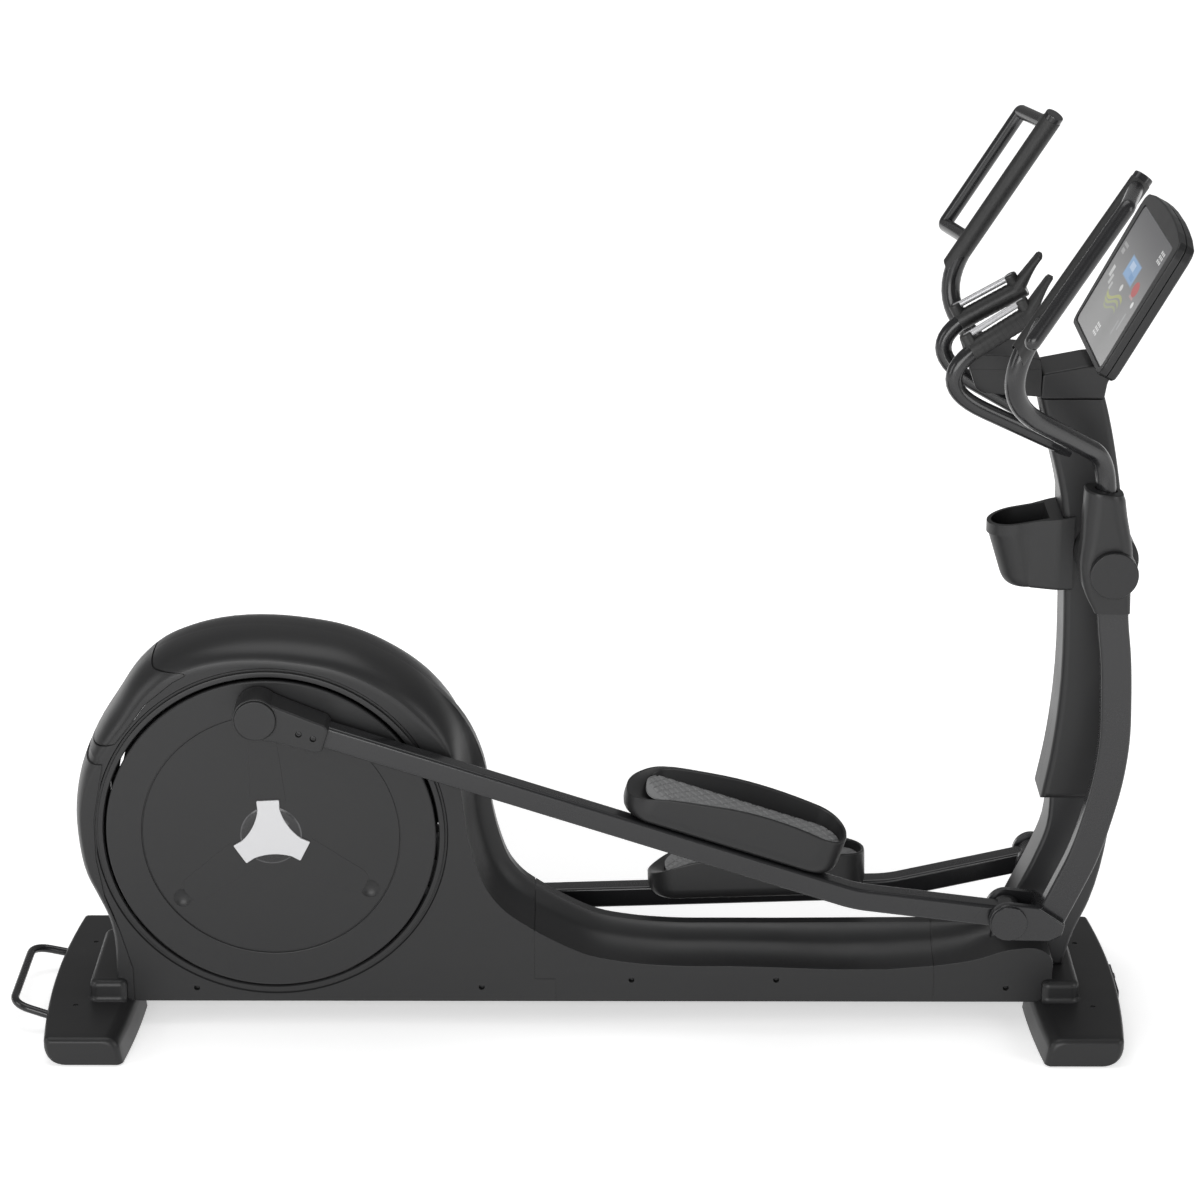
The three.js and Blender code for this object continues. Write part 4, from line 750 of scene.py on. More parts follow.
def armPlaces(name, side):
    lowX, lowZ = jointPlace(name + "_pedal_pivot")
    turn = math.radians(crank["angle"] + (0 if side < 0 else 180))
    crankX = axleX + crank["radius"] * math.cos(turn)
    crankZ = axleZ + crank["radius"] * math.sin(turn)
    armAngle = math.atan2(lowZ - crankZ, lowX - crankX) - math.atan2(-pinZ, -pinX)
    swingAngle = math.atan2(lowX - pivotX, pivotZ - lowZ)
    swing = Matrix.Translation((pivotX * mm, 0, pivotZ * mm)) @ Matrix.Rotation(-swingAngle, 4, "Y")
    pedal = Matrix.Translation((lowX * mm, 0, lowZ * mm)) @ Matrix.Rotation(-armAngle, 4, "Y")
    return swing, pedal, turn


# side covers, rear insert and rear cap
shroud = {
    "half": 108, "bottom": 52, "ridgeHalf": 13, "shoulder": 46, "cove": 42, "coveStart": 5, "wall": 3.5,
    "discGap": 316, "edgeRound": 1.6, "seam": 0.3, "stepDeep": 2.6, "stepWide": 3.0,
}
coverScrew = {"boss": 8, "well": 5.8, "head": 4.6, "low": 7.6, "high": 9.8, "slotHalf": 0.6}
# x, z, how far the cove and the shoulder pull this point inwards
coverRun = [
    [910, 100, 0, 0], [908, 148, 0.05, 0], [890, 166, 0.1, 0], [830, 174, 0.25, 0], [760, 176, 0.75, 0],
    [690, 176, 1, 0], [290, 174, 1, 0], [180, 175, 1, 0], [100, 182, 1, 0], [40, 194, 1, 0],
    [-15, 219, 1, 0],
    [-72, 253, 1, 0], [-103, 276, 1, 0], [-127, 306, 1, 0], [-149, 364, 1, 0], [-160, 411, 1, 0],
    [-168, 465, 0.95, 0], [-178, 518, 0.8, 0.15], [-212, 597, 0.3, 0.6], [-268, 663, 0, 1],
    [-304, 696, 0, 1],
    [-344, 723, 0, 1], [-394, 749, 0, 1], [-448, 768, 0, 1], [-505, 779, 0, 1], [-575, 786, 0, 1],
    [-675, 780, 0, 1], [-732, 765, 0, 1], [-783, 742, 0, 1], [-829, 702, 0, 1], [-870, 642, 0, 0.9],
    [-911, 576, 0, 0.7], [-938, 511, 0, 0.55], [-949, 451, 0, 0.45], [-949, 380, 0, 0.45],
    [-937, 305, 0, 0.5],
    [-918, 261, 0, 0.5], [-901, 223, 0, 0.45], [-891, 180, 0, 0.4], [-886, 120, 0, 0.2],
]


def coverBody(name, inset, perSpan, levelCount):
    run = ([[-880, shroud["bottom"], 0, 0], [910, shroud["bottom"], 0, 0]]
           + smoothThrough(coverRun, perSpan))
    normals = []
    for i in range(len(run)):
        ax, az = run[i - 1][:2]
        bx, bz = run[(i + 1) % len(run)][:2]
        size = math.hypot(bx - ax, bz - az)
        normals.append((-(bz - az) / size, (bx - ax) / size))
    half = shroud["half"] - inset
    ridge = shroud["ridgeHalf"] - inset
    levels = [half, half - 0.5, half - 1.6] if inset == 0 else [half]
    levels += [ridge + (half - 1.6 - ridge) * (1 - (i / levelCount) ** 2.0) for i in range(1, levelCount)]
    levels += [ridge + 0.4, ridge - 1.6]
    levels = [-y for y in levels] + levels[::-1]
    rings = []
    for y in levels:
        out = min(1, max(0, (abs(y) + inset - shroud["ridgeHalf"])
                         / (shroud["half"] - shroud["ridgeHalf"])))
        drop = 0
        if abs(y) >= ridge - 1:
            drop = shroud["coveStart"] + shroud["cove"] * math.sqrt(1 - (1 - out) ** 2)
        bow = shroud["shoulder"] * (1 - math.sqrt(max(0, 1 - min(1, abs(y) / half) ** 2.6)))
        rim = 0
        if inset == 0 and abs(y) > half - 1.7:
            rim = shroud["edgeRound"] * (1 - math.sqrt(max(0, 1 - (1 - (half - abs(y)) / 1.6) ** 2)))
        ring = []
        for (x, z, cove, shoulder), (nx, nz) in zip(run, normals):
            depth = cove * (drop + 2 * inset) + shoulder * bow + inset + rim
            if inset > 0 and z < shroud["bottom"] + 1:
                ring.append((x, y, z - 20))
            else:
                ring.append((x + nx * depth, y, z + nz * depth))
        rings.append(ring)
    return loft(name, rings)


def insertZone(grow):
    low = 582 - grow
    run = roundedOutline([[-1000, 560 - grow], [-905, 572 - grow], [-862, low], [-838 + grow, 612],
                          [-800 + grow, 664], [-748 + grow, 707], [-716 + grow, 724],
                          [-790 + grow, 727 + grow], [-815, 800], [-1000, 800]],
                         [0, 20, 18, 30, 30, 12, 8, 14, 0, 0])
    return prism("insertZone", run, "Y", -200, 200)


def capZone(grow):
    run = roundedOutline([[-1000, 553 + grow], [-915, 558 + grow], [-884 + grow, 548 + grow],
                          [-893 + grow, 500], [-906 + grow, 430], [-906 + grow, 350],
                          [-893 + grow, 270], [-868 + grow, 200], [-846 + grow, 120],
                          [-846 + grow, 0], [-1000, 0]],
                         [0, 20, 10, 30, 60, 60, 60, 40, 30, 0, 0])
    return prism("capZone", run, "Y", -200, 200)


def seamStep(zone):
    # a shallow step along the edge of a panel, so its seam reads as a dark line
    step = carve(coverBody("stepSkin", -0.5, 4, 16), coverBody("stepCore", shroud["stepDeep"], 4, 16))
    return keep(step, carve(zone(1), zone(-shroud["seam"] - shroud["stepWide"])))


def boxTool(x0, x1, y0, y1, z0, z1):
    return prism("boxTool", [[x0, y0], [x1, y0], [x1, y1], [x0, y1]], "Z", z0, z1)


def discRing(side):
    # the raised rim round the disc
    half, gap = shroud["half"], shroud["discGap"]
    profile = [(gap, -half + 3), (gap + 0.2, -half - 2.0), (gap + 2, -half - 4.0), (gap + 8, -half - 4.0),
               (gap + 10.6, -half - 3.2), (gap + 11.4, -half - 1.4), (gap + 11.4, -half + 3)]
    return ringLathe("discRing", [(r, y if side < 0 else -y) for r, y in profile], axleX, axleZ, 144)


def ringGroove(side):
    half, gap = shroud["half"], shroud["discGap"]
    profile = [(gap + 11.4, -half - 8), (gap + 11.6, -half + 2.7), (gap + 15.4, -half + 2.8),
               (gap + 17.6, -half + 0.2), (gap + 18.6, -half - 8)]
    return ringLathe("ringGroove", [(r, y if side < 0 else -y) for r, y in profile], axleX, axleZ, 144)


def makeCovers():
    skin = carve(coverBody("coverSkin", 0, 4, 16), coverBody("coverCore", shroud["wall"], 2, 7))
    carve(skin, ringGroove(-1), ringGroove(1))
    fuse(skin, discRing(-1), discRing(1))
    carve(skin, drum("discBore", axleX, axleZ, shroud["discGap"], -150, 150, steps=144))
    carve(skin, footBlock("rearFootSpace", feet["rearX"], -1, shroud["seam"]),
          footBlock("frontFootSpace", feet["frontX"], 1, shroud["seam"]),
          postTool(0.7),
          boxTool(-980, 1000, -31, 31, 0, 99))
    insert = keep(twin(skin, "coverInsert"), insertZone(-shroud["seam"]))
    cap = keep(twin(skin, "coverCap"), capZone(-shroud["seam"]))
    carve(insert, seamStep(insertZone))
    carve(cap, seamStep(capZone))
    notch = carve(coverBody("notchSkin", -0.5, 4, 16), coverBody("notchCore", 2.9, 4, 16))
    carve(cap, keep(notch, boxTool(-1000, -862, -200, 200, 541, 575)))
    carve(skin, insertZone(0), capZone(0))
    grooves = carve(coverBody("grooveSkin", -0.2, 4, 16), coverBody("grooveCore", 0.9, 4, 16))
    # seam lines across the sides, each twice as wide as this
    fine = 0.6
    lines = fuse(boxTool(-80 - fine, -80 + fine, -120, 120, 100, 300),
                 boxTool(683 - fine, 683 + fine, -120, 120, 60, 200),
                 boxTool(-80, -40, -120, 120, 100 - fine, 100 + fine),
                 boxTool(-40 - fine, -40 + fine, -120, 120, 40, 100))
    carve(skin, keep(grooves, lines))
    holes = [(-728, 80), (-182, 82), (105, 98), (382, 98), (822, 82)]
    for name, side in sides:
        cover = twin(skin, "side_cover_" + name)
        low, high = (-150, -shroud["seam"] / 2) if side < 0 else (shroud["seam"] / 2, 150)
        keep(cover, boxTool(-1100, 1100, low, high, 0, 900))
        for number, (x, z) in enumerate(holes, 1):
            face, slot = -shroud["half"], coverScrew["slotHalf"]
            boss = drum("screwBoss", x, z, coverScrew["boss"], face + 1, face + 12, steps=28)
            fuse(cover, mirrored(boss, side))
            hole = drum("screwHole", x, z, coverScrew["well"], face - 1, face + 10, steps=28)
            head = drum("cover_screw_%s_%d" % (name, number), x, z, coverScrew["head"],
                        face + coverScrew["low"], face + coverScrew["high"], rounding=0.5, steps=28)
            carve(head, boxTool(x - 3.2, x + 3.2, face, face + 8.3, z - slot, z + slot))
            carve(cover, mirrored(hole, side))
            toScene(head, side)
            finishPiece(head, "frame", "glossPaint", angle=30)
        toScene(cover)
        finishPiece(cover, "frame", "shellPlastic", ["base_shroud_" + name], angle=28)
    bpy.data.objects.remove(skin)
    for piece, name, node in ((insert, "rear_insert_panel", "shroud_rear_insert"),
                              (cap, "rear_cap_panel", "shroud_rear_cap")):
        piece.name = name
        toScene(piece)
        finishPiece(piece, "frame", "shellPlastic", [node], angle=28)


# foot covers, with u across the foot and y along it
feet = {"rearX": -937, "frontX": 966, "halfWidth": 61, "halfLength": 279, "bow": 17, "tip": 57, "crown": 60,
        "clear": 3, "wall": 3.5, "screwX": 20, "screwY": 140, "flare": 23, "endRound": 11.5,
        "flat": 66, "shoulder": 120, "drop": 0.8}
saddle = {"inner": 4, "half": 122, "top": 100, "corner": 17, "round": 13, "fillet": 12}
beam = {"half": 30, "top": 98, "rear": -884, "front": 938}


def footTop(y):
    # level in the middle, a small drop, then a long slope to the tip
    away, flat, shoulder = abs(y), feet["flat"], feet["shoulder"]
    if away <= flat:
        return feet["crown"]
    if away <= shoulder:
        return feet["crown"] - feet["drop"] * (away - flat) / (shoulder - flat)
    low = feet["crown"] - feet["drop"]
    return low - (low - feet["tip"]) * (away - shoulder) / (feet["halfLength"] - shoulder)


def bend(start, middle, stop, steps):
    # points on a curve from start to stop, pulled towards the middle
    ends = [Vector(p) for p in (start, middle, stop)]
    made = [ends[0] * (1 - t) ** 2 + ends[1] * 2 * t * (1 - t) + ends[2] * t * t
            for t in (k / steps for k in range(steps + 1))]
    return [tuple(p) for p in made]


def footSection(x, direction, y, half, inset, grow):
    # one slice across a foot: rounded heel, upright outer wall, flat top and a wide round on the inner side
    bow = feet["bow"] * max(0, 1 - (y / half) ** 2)
    wide = feet["halfWidth"] + grow - inset
    top = footTop(y) + grow - inset * 1.1
    low = feet["clear"] - (20 if grow < 0 else 0)
    flare = feet["flare"]
    run = [(-wide - flare, low)]
    run += bend((wide - 30, low), (wide - 3, low), (wide, low + 32), 8)
    run += bend((wide, top - 9), (wide - 1, top), (wide - 8, top), 5)
    run += bend((-wide + 12, top), (-wide - 13, top - 1), (-wide - 18, top - 22), 9)
    shifted = [(u + (bow if u > 0 else -bow), v) for u, v in run]
    return [(x + direction * u, y, v) for u, v in shifted]


def footBlock(name, x, direction, grow):
    half = feet["halfLength"] + grow
    # the ends are rounded by slices that are drawn in
    stations = [(-half + y, inset)
                for y, inset in ((0, 9.0), (1.2, 6.2), (3.6, 3.4), (7.4, 1.2), (feet["endRound"], 0))]
    inside = half - feet["endRound"]
    middle = [(-inside + 2 * inside * k / 36, 0) for k in range(1, 36)]
    rows = sorted(stations + middle + [(-y, inset) for y, inset in stations])
    block = loft(name, [footSection(x, direction, y, half, inset, grow) for y, inset in rows])
    edge = feet["halfWidth"] + feet["bow"] + grow
    near, far = (-edge, grow - saddle["inner"]) if direction > 0 else (saddle["inner"] - grow, edge)
    levels = [(feet["tip"] - saddle["round"], -saddle["fillet"])]
    for k in range(7):
        turn = math.pi / 2 * k / 6
        levels.append((feet["tip"] + grow + saddle["fillet"] * (1 - math.cos(turn)),
                       -saddle["fillet"] * (1 - math.sin(turn))))
    levels.append((saddle["top"] + grow - saddle["round"], 0))
    for k in range(1, 8):
        turn = math.pi / 2 * k / 7
        levels.append((saddle["top"] + grow - saddle["round"] * (1 - math.sin(turn)),
                       saddle["round"] * (1 - math.cos(turn))))
    rings = []
    for z, inset in levels:
        reach = saddle["half"] + grow - inset
        ring = roundedRect(near + inset, -reach, far - inset, reach, saddle["corner"] + grow - inset, 8)
        rings.append([(x + u, v, z) for u, v in ring])
    rise = loft("saddle", rings)
    plan = []
    for side in (1, -1):
        for i in range(-14, 15):
            share = side * i / 14
            plan.append([x + side * (feet["halfWidth"] + grow + feet["bow"] * (1 - share * share)),
                         share * half])
    keep(rise, prism("footPlan", plan, "Z", 0, 200))
    return fuse(block, rise)


def makeFeet():
    for name, x, direction in (("rear", feet["rearX"], -1), ("front", feet["frontX"], 1)):
        cover = footBlock("foot_shell_" + name, x, direction, 0)
        carve(cover, footBlock("footCore", x, direction, -feet["wall"]))
        beamEnd = beam["front"] + clearance if direction > 0 else beam["rear"] - clearance
        beyond = x - direction * 200
        carve(cover, boxTool(min(beamEnd, beyond), max(beamEnd, beyond), -beam["half"] - clearance,
                             beam["half"] + clearance, 0, beam["top"] + clearance))
        for y in (-feet["screwY"], feet["screwY"]):
            at = x + direction * feet["screwX"]
            hole = prism("screwHole", [[at + 5 * u, y + 5 * v] for u, v in arc(0, 0, 1, 0, 345, 23)], "Z",
                         feet["tip"] - 2.4, 80)
            carve(cover, hole)
            head = prism("foot_screw_%s_%s" % (name, "right" if y < 0 else "left"),
                         [[at + 4.1 * u, y + 4.1 * v] for u, v in arc(0, 0, 1, 0, 345, 23)],
                         "Z", feet["tip"] - 2.3, feet["tip"] + 0.4, rounding=0.7, steps=3)
            carve(head, boxTool(at - 0.6, at + 0.6, y - 3, y + 3, feet["tip"] - 0.8, 80))
            toScene(head)
            finishPiece(head, "frame", "glossPaint", angle=30)
        if direction < 0:
            carve(cover, pullBar("pullSpace", 0.5))
        else:
            trimFrontFoot(cover)
        toScene(cover)
        finishPiece(cover, "frame", "shellPlastic", [name + "_foot_cover"], angle=34)


powerPanel = {"front": 1047, "half": 62, "bottom": 14, "top": 53, "z": 33.5, "inletY": -24, "switchY": 26}
wheel = {"radius": 24, "y": 186, "x": 1010, "z": 31, "room": 3}


def trimFrontFoot(cover):
    front, half, z = powerPanel["front"], powerPanel["half"], powerPanel["z"]
    bottom, top = powerPanel["bottom"], powerPanel["top"]
    inlet, switch = powerPanel["inletY"], powerPanel["switchY"]
    panel = prism("panel", roundedRect(-half, bottom, half, top, 6), "X", feet["frontX"] + 30, front,
                  rounding=1.5, steps=3)
    carve(panel, footBlock("panelCore", feet["frontX"], 1, -feet["wall"]))
    fuse(cover, panel)
    wall = feet["wall"]
    carve(cover, boxTool(feet["frontX"] + 20, front - wall, -half + wall, half - wall,
                         bottom + wall, top - wall),
          boxTool(feet["frontX"], front + 1, inlet - 15, inlet + 15, z - 12, z + 12),
          boxTool(feet["frontX"], front + 1, switch - 11, switch + 11, z - 15, z + 15),
          postTool(0.7))
    reach = wheel["radius"] + wheel["room"]
    for side in (-1, 1):
        low, high = side * wheel["y"] - 16, side * wheel["y"] + 16
        well = drum("wheelWell", wheel["x"], wheel["z"], reach, low, high)
        fuse(well, boxTool(wheel["x"] - reach, wheel["x"] + reach, low, high, 0, wheel["z"]))
        carve(cover, well)


pull = {"radius": 8, "rearX": -1080, "half": 128, "rearZ": 56, "rootX": -1012, "rootHalf": 137, "rootZ": 37,
        "bend": 42}


def pullBar(name, grow):
    inner = feet["rearX"] - 27 - 0.3
    run = [(inner, -pull["rootHalf"], pull["rootZ"]), (pull["rootX"], -pull["rootHalf"], pull["rootZ"]),
           (pull["rearX"], -pull["half"], pull["rearZ"]), (pull["rearX"], pull["half"], pull["rearZ"]),
           (pull["rootX"], pull["rootHalf"], pull["rootZ"]), (inner, pull["rootHalf"], pull["rootZ"])]
    return pipe(name, run, [8, pull["bend"], pull["bend"], 8], pull["radius"] + grow, 28)


def makePullHandle():
    bar = toScene(pullBar("pull_bar", 0))
    finishPiece(bar, "frame", "glossPaint", ["pull_handle"])


# mast column and its cover in two halves
mast = {"half": 57, "postHalf": 42, "bottom": 452, "top": 1240, "edge": 13, "wall": 3.5,
        "bossRadius": 56, "bossReach": 124, "pivotRadius": 20}
mastRear = [[879, 452], [893, 533], [905, 654], [904, 873], [892, 1048], [866, 1154], [838, 1264]]
mastFront = [[957, 1264], [973, 1206], [997, 1087], [1015, 940], [1023, 800], [1026, 620], [1025, 452]]


def postOutline(extra):
    rear = smoothThrough([[768, 98.3], [835, 243], [873, 327], [894, 389], [899, 470], [913, 654],
                          [912, 873], [903, 1040], [886, 1140], [868, 1240]], 4)
    front = smoothThrough([[930, 1240], [957, 1180], [981, 1080], [1001, 940], [1009, 800], [1016, 620],
                           [1019, 452], [1012, 369], [983, 233], [957, 170], [937, 98.3]], 4)
    return [[x - extra, z] for x, z in rear] + [[x + extra, z] for x, z in front]


def postTool(extra):
    # the room that a cover leaves for the post
    reach = mast["postHalf"] + clearance
    return prism("postTool", postOutline(extra), "Y", -reach, reach)


def coverOutline(inset=0.0):
    rear = smoothThrough(mastRear, 5)
    front = smoothThrough(mastFront, 5)
    return [[x + inset, z] for x, z in rear] + [[x - inset, z] for x, z in front]


def makeMast():
    post = prism("mast_column", postOutline(0), "Y", -mast["postHalf"], mast["postHalf"], rounding=8,
                 steps=3)
    carve(post, boxTool(600, 1100, -60, 60, 0, 98.4))
    toScene(post)
    finishPiece(post, "frame", "framePaint", ["mast_post"])
    shell = prism("mastShell", coverOutline(), "Y", -mast["half"], mast["half"], rounding=mast["edge"],
                  steps=5)
    wall = mast["wall"]
    core = prism("mastCore", coverOutline(wall), "Y", wall - mast["half"], mast["half"] - wall,
                 rounding=10, steps=2)
    carve(shell, core)
    for side in (-1, 1):
        low, high = sorted((side * mast["bossReach"], side * (mast["half"] - 4)))
        fuse(shell, drum("pivotBoss", pivotX, pivotZ, mast["bossRadius"], low, high, rounding=2.0,
                         steps=96))
    carve(shell, postTool(0.5),
          drum("shaftBore", pivotX, pivotZ, mast["pivotRadius"] + 0.4, -130, 130),
          boxTool(700, 1100, -100, 100, mast["top"], 1400),
          boxTool(700, 1100, -100, 100, 300, mast["bottom"] + 0.2))
    for side in (-1, 1):
        carve(shell, barBody("barSpace", side, 0.6))
    for name, side in sides:
        cover = twin(shell, "mast_shell_" + name)
        low, high = (-200, -0.15) if side < 0 else (0.15, 200)
        keep(cover, boxTool(600, 1200, low, high, 0, 1500))
        toScene(cover)
        finishPiece(cover, "frame", "shellPlastic", ["mast_cover_" + name], angle=30)
    bpy.data.objects.remove(shell)


# crank discs and hub plates
disc = {"radius": 311, "face": 116, "thick": 12, "stepRadius": 244, "step": 2.0, "dimple": 215,
        "dimpleTurn": 124, "pinHole": 19}
hub = {"reach": 71.5, "root": 53, "tipHalf": 21.5, "pull": 32, "thick": 4, "boss": 57}


def spokeAxes(turn):
    along = Vector((math.cos(turn), math.sin(turn)))
    return along, Vector((-along.y, along.x))


def makeDisc(name, side, turn):
    face = -disc["face"]
    profile = [(0.01, face + disc["thick"]), (disc["radius"] - 1, face + disc["thick"]),
               (disc["radius"], face + disc["thick"] - 1), (disc["radius"], face + 3),
               (disc["radius"] - 1, face + 1), (disc["radius"] - 3, face),
               (disc["stepRadius"] + 1.4, face), (disc["stepRadius"] + 0.4, face + 0.5),
               (disc["stepRadius"], face + disc["step"] + 0.9),
               (disc["stepRadius"] - 1.6, face + disc["step"] + 0.9),
               (disc["stepRadius"] - 2.4, face + disc["step"]), (78, face + disc["step"]),
               (74, face + disc["step"] - 0.5), (40, face + disc["step"] - 0.5),
               (0.01, face + disc["step"] - 0.5)]
    plate = lathe("crank_plate_" + name, profile, axleX, axleZ, 160)
    for k in (-disc["dimpleTurn"], disc["dimpleTurn"]):
        at = turn + math.radians(k)
        x, z = axleX + disc["dimple"] * math.cos(at), axleZ + disc["dimple"] * math.sin(at)
        bowl = lathe("dimple", [(0.01, face + disc["step"] + 6.0), (6, face + disc["step"] + 5.7),
                                (11, face + disc["step"] + 4.4), (15, face + disc["step"] + 2.4),
                                (18, face + disc["step"] + 0.4), (19, face - 0.4), (20, face - 1),
                                (0.01, face - 1)], x, z, 56)
        carve(plate, bowl)
    spider = []
    for k in (0, disc["dimpleTurn"], -disc["dimpleTurn"]):
        along, across = spokeAxes(turn + math.radians(k))
        spider += [[axleX + (along * u + across * v).x, axleZ + (along * u + across * v).y]
                   for u, v in ((62, -34), (204, -26), (204, 26), (62, 34))]
    web = prism("spider", roundedOutline(spider, [20, 24, 24, 20] * 3, 6), "Y", face + disc["step"] - 0.5,
                face + disc["step"] + 2, rounding=0.45, steps=2)
    fuse(plate, web)
    x, z = axleX + crank["radius"] * math.cos(turn), axleZ + crank["radius"] * math.sin(turn)
    carve(plate, drum("pinHole", x, z, disc["pinHole"], face - 1, face + disc["step"] + 3, steps=40))
    toScene(plate, side)
    finishPiece(plate, "crank", "shellPlastic", ["crank_disc_" + name], angle=20)


def makeHub(name, side, turn):
    run = []
    for k in range(3):
        at = turn + k * 2 * math.pi / 3
        along, across = spokeAxes(at)
        arm = [(hub["root"], -hub["tipHalf"] + 0.8), (hub["reach"] - 1.5, -hub["tipHalf"]),
               (hub["reach"], -hub["tipHalf"] + 1.5), (hub["reach"], hub["tipHalf"] - 1.5),
               (hub["reach"] - 1.5, hub["tipHalf"]), (hub["root"], hub["tipHalf"] - 0.8)]
        tip = [along * r + across * t for r, t in arm]
        run += tip
        nextAlong, nextAcross = spokeAxes(at + 2 * math.pi / 3)
        goal = nextAlong * hub["root"] + nextAcross * (-hub["tipHalf"] + 0.8)
        middle = (along + nextAlong).normalized() * hub["pull"]
        for i in range(1, 8):
            t = i / 8
            run.append(tip[-1] * (1 - t) ** 2 + middle * 2 * t * (1 - t) + goal * t * t)
    outline = [[axleX + p[0], axleZ + p[1]] for p in run]
    face = -disc["face"] + disc["step"] - 0.3
    plate = prism("hub_star_" + name, outline, "Y", face - hub["thick"], face, rounding=0.9, steps=3)
    toScene(plate, side)
    finishPiece(plate, "crank", "silverPlate", ["hub_plate_" + name], angle=40)
    dome = lathe("hub_cap_" + name, [(0.01, face - 3.4), (38, face - 3.2), (48, face - 2.7),
                                     (54, face - 1.7), (58, face - 0.2), (hub["boss"], face + 1.6),
                                     (0.01, face + 1.6)],
                 axleX, axleZ, 64)
    toScene(dome, side)
    finishPiece(dome, "crank", "glossPaint", angle=30)


# pedal arms, joint housings, pans and treads
armEnd = {"length": 135, "radius": 42, "inner": 121, "outer": 187, "cap": 38, "capThick": 6, "pin": 17,
          "pinEnd": 117.5}
fork = {"radius": 37, "inner": 106, "outer": 190, "cheek": 14, "pin": 12, "cap": 34, "capThick": 6}
pedal = {"start": 700, "end": 1125, "inner": 50, "outer": 177, "corner": 58, "wall": 7, "floor": 76.7,
         "rearRim": 30}
# height of the rim above the arm by distance from the crank pin: distance, outer edge, inner edge
rim = [[680, 52, 66], [720, 68, 84], [753, 80, 97], [836, 95, 112], [911, 106, 120], [1030, 106, 119],
       [1096, 98, 112], [1150, 95, 100]]
rimRows = smoothThrough(rim, 8)


def makeArm(name, side, place):
    h = pedalArm["height"] / 2
    middle = (pedalArm["inner"] + pedalArm["outer"]) / 2
    halfWide = (pedalArm["outer"] - pedalArm["inner"]) / 2
    section = roundedRect(-halfWide, -h, halfWide, h, 7, 5)
    path = bentPath([(pinX + armEnd["length"] * 0.45 + 2, -middle, pinZ), (bendX, -middle, bendZ),
                     (0, -middle, 0)], [260], bendSteps=20)
    bar = sweep("arm_bar_" + name, path, section, up=(0, 0, 1))
    boss = drum("armBoss", 0, 0, 29, -171, -125, rounding=1.5, steps=64)
    fuse(bar, boss)
    carve(bar, drum("forkBore", 0, 0, fork["pin"] + 0.6, -200, 0, steps=40))
    toScene(bar, side, place)
    finishPiece(bar, "pedal_" + name, "glossPaint", ["pedal_arm_" + name], angle=30)


def makeJoint(name, side, place):
    h = pedalArm["height"] / 2
    low, high = -armEnd["outer"], -armEnd["inner"]
    outline = roundedOutline([[pinX + 6, pinZ + armEnd["radius"] - 3],
                              [pinX - 14, pinZ + armEnd["radius"] - 5],
                              [pinX - 14, pinZ - armEnd["radius"] + 5],
                              [pinX + 6, pinZ - armEnd["radius"] + 3],
                              [pinX + 46, pinZ - h - 11], [pinX + 126, pinZ - h - 7],
                              [pinX + armEnd["length"], pinZ - h], [pinX + armEnd["length"], pinZ + h],
                              [pinX + 126, pinZ + h + 7], [pinX + 46, pinZ + h + 13]],
                             [14, 8, 8, 14, 16, 10, 5, 5, 10, 16])
    body = prism("joint_shell_" + name, outline, "Y", low, high, rounding=7, steps=5)
    barrel = drum("barrel", pinX, pinZ, armEnd["radius"], low - 1.5, high, rounding=4, steps=96)
    fuse(body, barrel)
    groove = ringLathe("capGroove", [(armEnd["cap"] - 0.2, low - 3), (armEnd["cap"] + 1.6, low - 3),
                                     (armEnd["cap"] + 1.0, low + 0.6), (armEnd["cap"] + 0.2, low + 0.6)],
                       pinX, pinZ, 96)
    carve(body, groove)
    cap = drum("jointCap", pinX, pinZ, armEnd["cap"], low - armEnd["capThick"], low + 2, rounding=2.2,
               steps=96)
    fuse(body, cap, drum("crankPin", pinX, pinZ, armEnd["pin"], high - 1, -armEnd["pinEnd"], steps=40))
    seat = pinX + armEnd["length"] * 0.45 - 0.3
    room = 0.4
    socket = roundedRect(-pedalArm["outer"] - room, pinZ - h - room, -pedalArm["inner"] + room,
                         pinZ + h + room, 7)
    carve(body, prism("armSocket", socket, "X", seat, pinX + 300))
    for dx in (84, 112):
        hole = drum("boltWell", pinX + dx, pinZ - 2, 6.2, low - 1, low + 6.5, steps=28)
        carve(body, hole)
    toScene(body, side, place)
    finishPiece(body, "pedal_" + name, "shellPlastic", ["crank_joint_" + name], angle=28)
    for i, dx in enumerate((84, 112)):
        run = [[pinX + dx + 4.3 * math.cos(math.radians(a)), pinZ - 2 + 4.3 * math.sin(math.radians(a))]
               for a in range(0, 360, 15)]
        head = prism("joint_bolt_%s_%d" % (name, i + 1), run, "Y", low + 3.4, low + 6.4, rounding=0.6,
                     steps=2)
        carve(head, drum("hexSocket", pinX + dx, pinZ - 2, 2.6, low, low + 5.6, steps=6))
        toScene(head, side, place)
        finishPiece(head, "pedal_" + name, "glossPaint", angle=30)


def rimHeight(x, y):
    # y from the outer edge to the inner edge of the pan
    share = min(1, max(0, (y + pedal["outer"]) / (pedal["outer"] - pedal["inner"])))
    share = share * share * (3 - 2 * share)
    place = min(max(x, rimRows[0][0]), rimRows[-1][0])
    for a, b in zip(rimRows, rimRows[1:]):
        if place <= b[0]:
            t = (place - a[0]) / (b[0] - a[0])
            outer = a[1] + (b[1] - a[1]) * t
            inner = a[2] + (b[2] - a[2]) * t
            return outer + (inner - outer) * share
    return rimRows[-1][1]


